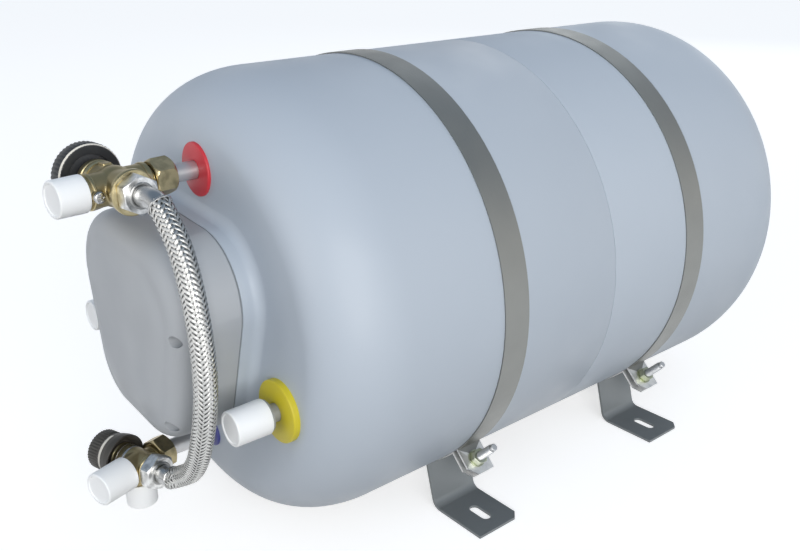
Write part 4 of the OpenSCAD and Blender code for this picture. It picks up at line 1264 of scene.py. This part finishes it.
@dataclass
class Mixer:
    """The thermostatic mixing valve on the hot pipe."""

    hot_nut: Span = (28.5, 46.5)
    hose_nut: Span = (27.3, 39.0)
    tail_from: float = 38.0
    screw_x: float = 15.6
    screw_y: float = -21.6
    cap_y: float = -26.6
    cap_length: float = 23.4
    rim: Rim = Rim(radius=27.0, groove=0.55, ribs=48, start=37.4, end=49.5, dish=22.0,
                   dish_floor=48.1)

    def build(self) -> None:
        """Builds the casting, its machined ends, the nuts, the cap and the knob."""
        place = valve_place("temperature_knob_turn")
        hand_over(self.body(), place, CAST_BRASS, "mixer_body", smooth=60)
        hand_over(self.rims(), place, TURNED_BRASS, "mixer_body", stands_for=False)
        hand_over(self.bonnet(), place @ Z_TO_MINUS_X, TURNED_BRASS, "mixer_bonnet")
        nut = hexagon("hot_nut", NUT_FLATS, *self.hot_nut, 11.7, chamfer=3.0)
        hand_over(nut, place @ Z_TO_Y, NUT_BRASS, "hot_union_nut")
        screw = pan_head("outlet_screw_head", 4.5, 2.4, 1.1)
        screw_place = place @ Matrix.Translation((self.screw_x, self.screw_y, -1)) @ Z_TO_X
        hand_over(screw, screw_place, NICKEL, "outlet_screw")
        nut = hose_nut("top_hose_nut", *self.hose_nut)
        hand_over(nut, place @ Z_TO_X @ Matrix.Rotation(math.pi / 6, 4, "Z"), NUT_NICKEL,
                  "hose_nut_top")
        tail = hose_tail("top_tail", self.tail_from, TOP_BEND, TOP_LIP)
        hand_over(tail, place, NICKEL, "hose_tail_top")
        hand_over(cap("outlet_cap_white", CAP_RADIUS, self.cap_length),
                  place @ Matrix.Translation((0, self.cap_y, 0)) @ Z_TO_MINUS_Y, WHITE_CAP,
                  "outlet_cap")
        knob = place @ Z_TO_MINUS_X
        hand_over(self.knob(), knob, BLACK_GRIP, "mixer_knob")
        hand_over(self.ring(), knob, CREAM, "mixer_knob", stands_for=False)

    def body(self) -> Piece:
        """Melts the crossing barrels into one casting.

        Returns:
            The casting.
        """
        bpy.ops.mesh.primitive_uv_sphere_add(segments=48, ring_count=24, radius=15.9)
        ball = bpy.context.active_object
        along = moved(bar("along", 14.3, -20, 23.5), Z_TO_X)
        across = moved(bar("across", 13.2, -22, 23), Z_TO_Y)
        thread = moved(bar("outlet", 12.8, -40, 0), Z_TO_Y)
        boss = moved(bar("boss", 4.8, 0, 15.4), Matrix.Translation((0, self.screw_y, -1)) @ Z_TO_X)
        stop = block("stop", (9, 7, 5), (-12, 0, 14))
        return cast("mixer_casting", ball, along, across, thread, boss, stop)

    def rims(self) -> Piece:
        """The machined ends: at the hose, at the tank and at the outlet.

        Returns:
            The ends.
        """
        hose = turned("rim", [(10, 22.6), (16.6, 22.6, 0.4), (17.5, 23.4, 0.4),
                              (17.5, 26.4, 0.5), (16.7, 27.1, 0.3), (10, 27.1)])
        tank = turned("rim", [(9, 21.5), (13.6, 21.5, 0.3), (14.0, 22.2, 0.3),
                              (14.0, 24.8, 0.4), (13.3, 25.6, 0.3), (9, 25.6)])
        spigot = bar("spigot", 10.4, 24, 29)
        outlet = turned("rim", [(9, 20.8), (13.5, 20.8, 0.3), (14.1, 21.5, 0.3),
                                (14.1, 23.0, 0.3), (13.4, 23.8, 0.3), (9, 23.8)])
        return joined("mixer_rims", moved(hose, Z_TO_X), moved(tank, Z_TO_Y),
                      moved(spigot, Z_TO_Y), moved(outlet, Z_TO_MINUS_Y))

    def bonnet(self) -> Piece:
        """The turned bonnet that the knob sits on."""
        return turned("mixer_bonnet_turned", [
            (4.2, 19.5), (14.8, 19.5), (16.0, 21.0, 0.5), (16.0, 22.6, 0.3), (15.0, 23.1, 0.3),
            (15.0, 24.3, 0.3), (16.0, 24.8, 0.3), (16.0, 29.4, 0.4), (14.4, 31.2, 0.5),
            (12.0, 31.2, 0.4), (12.0, 34.8, 0.4), (4.2, 35.2)], steps=3)

    def knob(self) -> Piece:
        """The black grip: a finely ribbed rim, a smooth face behind it and a dished front.

        Returns:
            The grip.
        """
        rim = self.rim.build()
        face = turned("face", [(5.0, 39.5), (17.6, 39.5, 0.8), (18.6, 36.3, 0.6),
                               (25.3, 35.7, 0.8), (26.6, 37.6, 0.6), (26.6, 41), (5.0, 41)])
        boss = turned("boss", [(4.8, 47.5), (4.8, 48.7, 0.3), (9.0, 48.9, 0.5), (11.0, 47.5)])
        return joined("mixer_grip", rim, face, boss)

    def ring(self) -> Piece:
        """The thin pale line round the edge of the grip's face."""
        return turned("mixer_grip_line", [(25.2, 35.8), (26.1, 36.5), (26.5, 37.3), (25.0, 37.3)],
                      sides=96)


@dataclass
class SafetyValve:
    """The safety and check valve on the cold pipe."""

    union_end: float = 29.0
    union_length: float = 14.7
    hose_nut: Span = (14.3, 26.0)
    tail_from: float = 25.0
    inlet_cap_y: float = -15.0
    inlet_cap_length: float = 30.0
    drain_x: float = -4.0
    drain_cap_z: float = -16.0
    drain_cap_radius: float = 13.5
    drain_cap_length: float = 22.0
    rim: Rim = Rim(radius=17.6, groove=0.6, ribs=40, start=35.5, end=48.3, dish=13.5,
                   dish_floor=46.8)

    def build(self) -> None:
        """Builds the casting, its machined ends, the nuts, the caps and the knob."""
        place = valve_place("relief_knob_turn")
        hand_over(self.body(), place, CAST_BRASS, "safety_body", smooth=60)
        hand_over(self.rims(), place, TURNED_BRASS, "safety_body", stands_for=False)
        bonnet = turned("safety_bonnet_turned", [
            (3.2, 21.5), (12.4, 21.5, 0.3), (13.0, 22.3, 0.3), (13.0, 23.4, 0.4),
            (8.0, 24.0), (8.0, 30.0, 0.3), (3.2, 30.0)], steps=3)
        hand_over(bonnet, place @ Z_TO_MINUS_X, TURNED_BRASS, "safety_bonnet")
        nut = hexagon("cold_nut", NUT_FLATS, self.union_end - self.union_length, self.union_end,
                      11.9, chamfer=2.0)
        hand_over(nut, place @ Z_TO_Y, NUT_BRASS, "cold_union_nut")
        nut = hose_nut("low_hose_nut", *self.hose_nut)
        hand_over(nut, place @ Z_TO_X @ Matrix.Rotation(math.pi / 6, 4, "Z"), NUT_NICKEL,
                  "hose_nut_low")
        tail = hose_tail("low_tail", self.tail_from, LOW_BEND, LOW_LIP)
        hand_over(tail, place, NICKEL, "hose_tail_low")
        hand_over(cap("inlet_cap_white", CAP_RADIUS, self.inlet_cap_length),
                  place @ Matrix.Translation((0, self.inlet_cap_y, 0)) @ Z_TO_MINUS_Y, WHITE_CAP,
                  "inlet_cap")
        down = (Matrix.Translation((self.drain_x, 0, self.drain_cap_z))
                @ Matrix.Rotation(math.pi, 4, "X"))
        hand_over(cap("drain_cap_white", self.drain_cap_radius, self.drain_cap_length),
                  place @ down, WHITE_CAP, "drain_cap")
        knob = place @ Z_TO_MINUS_X
        hand_over(self.knob(), knob, BROWN_GRIP, "safety_knob")
        # a painted highlight: a pale crescent on the skirt
        hand_over(self.mark(), knob, CREAM, "safety_knob", stands_for=False)
        hand_over(self.bands(), knob, NICKEL, "safety_body", stands_for=False)

    def body(self) -> Piece:
        """Melts the barrels, the inlet and the drain into one casting.

        Returns:
            The casting.
        """
        along = moved(bar("along", 12.8, -22, 11.5), Z_TO_X)
        tank = moved(bar("tank", 10.2, 0, 20), Z_TO_Y)
        inlet = moved(bar("inlet", 12.9, -25, 0), Z_TO_Y)
        drain = moved(bar("drain", 11.9, -26, 0), Matrix.Translation((self.drain_x, 0, 0)))
        return cast("safety_casting", along, tank, inlet, drain)

    def rims(self) -> Piece:
        """The machined end at the hose and the spigot at the tank.

        Returns:
            The ends.
        """
        hose = turned("rim", [(9, 10.6), (13.4, 10.6, 0.3), (14.0, 11.3, 0.3),
                              (14.0, 13.6, 0.4), (13.3, 14.1, 0.3), (9, 14.1)])
        spigot = bar("spigot", 10.3, 12, 15.5)
        return joined("safety_rims", moved(hose, Z_TO_X), moved(spigot, Z_TO_Y))

    def knob(self) -> Piece:
        """The brown grip: a finely ribbed rim, and a smooth skirt that flares over the valve.

        Returns:
            The grip.
        """
        rim = self.rim.build()
        skirt = turned("skirt", [
            (8.4, 24.6), (14.4, 24.6, 0.5), (18.8, 19.6, 0.5), (19.8, 18.8, 0.4),
            (20.5, 19.8, 0.6), (20.2, 24.5, 1.0), (19.2, 29.5, 1.0), (17.6, 33.5, 1.0),
            (17.1, 36.0, 0.4), (17.0, 38.0), (8.4, 38.0)], steps=4)
        return joined("safety_grip", rim, skirt)

    def mark(self) -> Piece:
        """The painted highlight on the grip's skirt: a pale crescent on one side of it."""
        arc = turned("safety_grip_painted_highlight", [(19.25, 29.8), (17.85, 33.6), (17.3, 33.4),
                                          (18.7, 29.6)], sides=96)
        return cut(arc, block("seen", (34, 44, 40), (11, -23, 30)), keep=True)

    def bands(self) -> Piece:
        """Two bright rings on the barrel beside the grip."""
        rings = [turned("band", [(12, low), (13.1, low, edge), (13.1, high, edge), (12, high)])
                 for low, high, edge in ((9.4, 12.0, 0.3), (17.2, 18.2, 0.2))]
        return joined("safety_bands", *rings)


@dataclass
class Clamps:
    """The bolts and nuts that draw each strap and its saddle together."""

    lug_angle: float = 45.0
    bolt_reach: float = 212.2
    lug_far: float = 5.0
    washer: float = 1.6
    stand: float = 32.0
    flats: float = 13.0

    def build(self) -> None:
        """Builds four bolts and four nuts, one pair at each joint."""
        bolts, nuts = [], []
        for node in ("front_strap", "rear_strap"):
            for side in (1, -1):
                bolts.append(moved(self.bolt(), self.joint(node, side)))
                nuts.append(moved(self.nut(), self.joint(node, side)))
        hand_over(joined("clamp_studs", *bolts), Matrix.Identity(4), STUD_ZINC, "clamp_bolts")
        hand_over(joined("clamp_hexagons", *nuts), Matrix.Identity(4), YELLOW_ZINC, "clamp_nuts")

    def joint(self, node: str, side: int) -> Matrix:
        """The place of a joint, with z up and outwards through both lugs.

        Args:
            node: The strap.
            side: 1 on the right and -1 on the left.

        Returns:
            The place.
        """
        turn = Matrix.Rotation(math.radians(-self.lug_angle), 4, "Z")
        mirror = Matrix.Diagonal((side, 1, 1, 1))
        return (LINES.strap(node) @ mirror @ turn
                @ Matrix.Translation((self.bolt_reach, 0, 0)) @ Z_TO_Y)

    def bolt(self) -> Piece:
        """A bolt with a chamfered hexagon head and a threaded end.

        Returns:
            The bolt, with its joint's middle at zero.
        """
        under = -self.lug_far - self.washer
        head = hexagon("head", self.flats, under - 5.3, under, 0.5, chamfer=0.9)
        thread = threaded("thread", 4.0, 1.25, self.lug_far - 2, 23)
        shank = bar("shank", 3.6, under - 1, self.lug_far)
        top = self.lug_far + self.stand
        tip = turned("tip", [(0, top - 3.5), (3.3, top - 3.5), (3.3, top - 0.8),
                             (2.6, top), (0, top)], sides=32)
        return joined("bolt", head, thread, shank, tip)

    def nut(self) -> Piece:
        """A hexagon nut on its washer."""
        start = self.lug_far + self.washer
        return hexagon("nut", self.flats, start, start + 6.5, 3.7, chamfer=0.9)


# Beyond this radius in millimetres a strap's faces belong to its lugs
LUGS_FROM = 202.5

# The frame's nodes whose edges above an angle in degrees are eased, with finish and width
EASED_ABOVE = 40.0
EASED_NODES = {
    "front_strap": (STRAP, 0.25), "rear_strap": (STRAP, 0.25), "front_saddle": (LUG, 0.25),
    "rear_saddle": (LUG, 0.25), "right_feet": (FOOT, 0.5), "left_feet": (FOOT, 0.5),
    "clamp_washers": (YELLOW_ZINC, 0.25), "gland_body": (GLAND, 0.5), "gland_nut": (GLAND, 0.5),
}


def dress_frame() -> None:
    """Dresses the frame's own nodes, and eases the edges of its sheet metal."""
    for node, finish in NODE_FINISHES.items():
        dress(node, finish, 0.0)
    for node, (finish, ease) in EASED_NODES.items():
        dress(node, finish, ease)
    for node in ("front_strap", "rear_strap"):
        brighten_lugs(node)


def brighten_lugs(node: str) -> None:
    """Gives a strap's lugs, which stand out past its band, their own finish.

    Args:
        node: The strap.
    """
    mesh = frame["nodes"][node].data
    mesh.materials.append(LUG.material())
    to_strap = (Matrix.Scale(MM, 4) @ LINES.strap(node)).inverted()
    for face in mesh.polygons:
        spot = to_strap @ face.center
        if math.hypot(spot.x, spot.y) > LUGS_FROM:
            face.material_index = 1


def dress(node: str, finish: Finish, ease: float) -> None:
    """Gives a node of the frame its finish.

    Args:
        node: The node.
        finish: Its finish.
        ease: The width of its eased edges in millimetres, 0 for none.
    """
    piece = frame["nodes"][node]
    piece.data.materials.clear()
    piece.data.materials.append(finish.material())
    if ease:
        bevel = piece.modifiers.new("eased", "BEVEL")
        bevel.width = ease * MM
        bevel.segments = 2
        bevel.limit_method = "ANGLE"
        bevel.angle_limit = math.radians(EASED_ABOVE)


# The braided hose

@dataclass
class Hose:
    """The bypass hose: strands that cross two over and two under, round a dark liner.

    The free hose runs along the same route as in the solids. The braid goes on over the ends of
    the bent tails, up to their lips.
    """

    route: tuple[Point, ...] = (
        (0.08493, -0.35886, 0.31374), (0.092, -0.3582, 0.3045), (0.0985, -0.358, 0.294),
        (0.104, -0.358, 0.282), (0.1085, -0.358, 0.2685), (0.112, -0.358, 0.253),
        (0.1145, -0.358, 0.237), (0.1155, -0.358, 0.22), (0.115, -0.358, 0.202),
        (0.1125, -0.358, 0.184), (0.1075, -0.358, 0.166), (0.1005, -0.3576, 0.1485),
        (0.092, -0.3566, 0.1325), (0.082, -0.3552, 0.1175), (0.071, -0.3538, 0.1045),
        (0.06, -0.3532, 0.094), (0.04811, -0.35463, 0.08603))
    radius: float = 0.009
    strands: int = 12
    pitch: float = 0.048
    samples: int = 4
    lift: float = 0.00042
    half_width: float = 0.00122
    crown: float = 0.0003
    sunk: float = 0.0003
    liner_sunk: float = 0.0009
    liner_sides: int = 24
    liner_every: int = 8
    between: int = 12

    @staticmethod
    def tail(joint: str, bend_from: float, lip: float, turn: float) -> list[Vector]:
        """Points along a valve's bent tail, from its lip to just before the free hose.

        Args:
            joint: The joint that turns the valve's knob.
            bend_from: Where the tail begins to bend.
            lip: How far it has bent at its lip, in degrees.
            turn: How far it has bent at the free hose.

        Returns:
            The points, in metres.
        """
        place = valve_place(joint)
        stops = [on_tail(bend_from, lip + (turn - lip) * step / 3) for step in range(4)]
        stops.append(on_tail(bend_from, turn, 5.0))
        return [(place @ stop).translation * MM for stop in stops]

    def curve(self) -> tuple[list[Vector], list[float], list[float]]:
        """One smooth curve along the top tail, the route and the low tail.

        Returns:
            Its points, each point's way along it, and where its three parts end.
        """
        top = self.tail("temperature_knob_turn", TOP_BEND, TOP_LIP, TOP_TURN)
        low = self.tail("relief_knob_turn", LOW_BEND, LOW_LIP, LOW_TURN)
        stops = [*top, *(Vector(point) for point in self.route), *reversed(low)]
        ends = [2 * stops[0] - stops[1], *stops, 2 * stops[-1] - stops[-2]]
        fine: list[Vector] = []
        for a, b, c, d in zip(ends, ends[1:], ends[2:], ends[3:]):
            for step in range(self.between):
                t = step / self.between
                fine.append(0.5 * (2 * b + (c - a) * t + (2 * a - 5 * b + 4 * c - d) * t ** 2
                                   + (3 * b - a - 3 * c + d) * t ** 3))
        fine.append(stops[-1])
        way = [0.0]
        for here, there in zip(fine, fine[1:]):
            way.append(way[-1] + (there - here).length)
        first = len(top) * self.between
        last = first + (len(self.route) - 1) * self.between
        return fine, way, [way[first], way[last], way[-1]]

    def build(self) -> None:
        fine, way, ends = self.curve()
        step = self.pitch / (2 * self.strands * self.samples)
        start = 0.0
        for name, end in zip(("top_tail_braid", "braided_hose_wire", "low_tail_braid"), ends):
            count = self.liner_every * round((end - start) / step / self.liner_every)
            marks = [start + (end - start) * index / count for index in range(count + 1)]
            rings = self.rings(fine, way, marks)
            hose = self.braid(name, rings, marks)
            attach(hose, BODY_OF["braided_hose"])
            if name == "braided_hose_wire":
                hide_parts("braided_hose")
            log.info("%s is %.3f m long, %d faces", name, end - start, len(hose.data.polygons))
            start = end

    def rings(self, fine: list[Vector], way: list[float],
              marks: list[float]) -> list[tuple[Vector, Vector, Vector, Vector]]:
        """Sets frames across the curve.

        Args:
            fine: The curve's points.
            way: Each point's way along it.
            marks: How far along the frames stand.

        Returns:
            Each frame's middle, the way ahead, and two directions square to it.
        """
        frames = []
        index = 0
        for mark in marks:
            while index < len(way) - 2 and way[index + 1] < mark:
                index += 1
            share = (mark - way[index]) / (way[index + 1] - way[index])
            ahead = self.heading(fine, index).lerp(self.heading(fine, index + 1), share)
            side = ahead.cross(Vector((0, 1, 0))).normalized()
            frames.append((fine[index].lerp(fine[index + 1], share), ahead.normalized(), side,
                           side.cross(ahead).normalized()))
        return frames

    @staticmethod
    def heading(fine: list[Vector], index: int) -> Vector:
        """The curve's direction at one of its points."""
        return (fine[min(index + 1, len(fine) - 1)] - fine[max(index - 1, 0)]).normalized()

    def braid(self, name: str, rings: list[tuple[Vector, ...]], marks: list[float]) -> Piece:
        """Weaves one part of the hose.

        Args:
            name: The new object's name.
            rings: The frames across it.
            marks: Each frame's way along the curve.

        Returns:
            The part: both ways' strands, then the liner.
        """
        verts: list[Vector] = []
        faces: list[tuple[int, ...]] = []
        lanes: list[int] = []
        for way in (1, -1):
            for strand in range(self.strands):
                first = len(verts)
                for ring, mark in zip(rings, marks):
                    verts += self.across(ring, mark, way, strand)
                for index in range(len(rings) - 1):
                    for lane in range(3):
                        a = first + 4 * index + lane
                        quad = (a, a + 1, a + 5, a + 4)
                        faces.append(quad if way > 0 else quad[::-1])
                        lanes.append(lane)
        woven = len(faces)
        self.liner(rings, verts, faces)
        hose = from_lists(name, verts, faces)
        mesh = hose.data
        uv = mesh.uv_layers.new(name="strand")
        for face, lane in zip(mesh.polygons, lanes):
            for loop, u in zip(face.loop_indices, self.lane_marks(lane, face.index, woven)):
                uv.data[loop].uv = (u, 0.5)
        mesh.materials.append(BRAID.material())
        mesh.materials.append(HOSE_CORE.material())
        for face in mesh.polygons[woven:]:
            face.material_index = 1
        only(hose)
        bpy.ops.object.shade_smooth()
        return hose

    @staticmethod
    def lane_marks(lane: int, index: int, woven: int) -> tuple[float, ...]:
        """How far across its strand each corner of a quad lies, from 0 to 1."""
        spans = (lane / 3, (lane + 1) / 3, (lane + 1) / 3, lane / 3)
        return spans if index < woven / 2 else spans[::-1]

    def across(self, ring: tuple[Vector, ...], mark: float, way: int, strand: int) -> list[Vector]:
        """Sets four points across a strand where it crosses a frame.

        Args:
            ring: The frame.
            mark: Its way along the curve.
            way: 1 for a strand that winds forwards and -1 for one that winds back.
            strand: The strand's number.

        Returns:
            The points.
        """
        crossing = 2 * self.strands * mark / self.pitch
        phase = math.pi / 2 * (2 * strand + way * crossing - 0.5)
        height = self.radius - self.sunk + way * self.lift * math.cos(phase)
        angle = 2 * math.pi * (strand / self.strands + way * mark / self.pitch)
        slope = math.atan(2 * math.pi * self.radius / self.pitch)
        points = []
        for offset, drop in ((-1.0, self.crown), (-0.4, 0.0), (0.4, 0.0), (1.0, self.crown)):
            shift = offset * self.half_width
            points.append(self.on_round(
                ring, angle + shift * math.cos(slope) / self.radius, height - drop,
                -way * shift * math.sin(slope)))
        return points

    def liner(self, rings: list[tuple[Vector, ...]], verts: list[Vector],
              faces: list[tuple[int, ...]]) -> None:
        """Adds the dark tube that shows between the strands.

        Args:
            rings: The frames across the part.
            verts: The part's vertices, which grow.
            faces: The part's faces, which grow.
        """
        first, sides, chosen = len(verts), self.liner_sides, rings[::self.liner_every]
        for ring in chosen:
            verts += [self.on_round(ring, 2 * math.pi * side / sides,
                                    self.radius - self.liner_sunk, 0.0) for side in range(sides)]
        faces += tube_faces(first, len(chosen), sides)

    @staticmethod
    def on_round(ring: tuple[Vector, ...], angle: float, radius: float, along: float) -> Vector:
        """A point on the hose's round, at an angle and a little along it."""
        centre, ahead, side, up = ring
        return centre + radius * (math.cos(angle) * side + math.sin(angle) * up) + along * ahead


def main() -> None:
    """Builds the heater's looks and hands them to the frame."""
    logging.basicConfig(level=logging.INFO, format="%(name)s: %(message)s")
    Studio().build()
    Hose().build()
    dress_frame()
    Casing().build()
    Ports().build()
    Mixer().build()
    SafetyValve().build()
    Clamps().build()


if __name__ == "__main__":
    main()
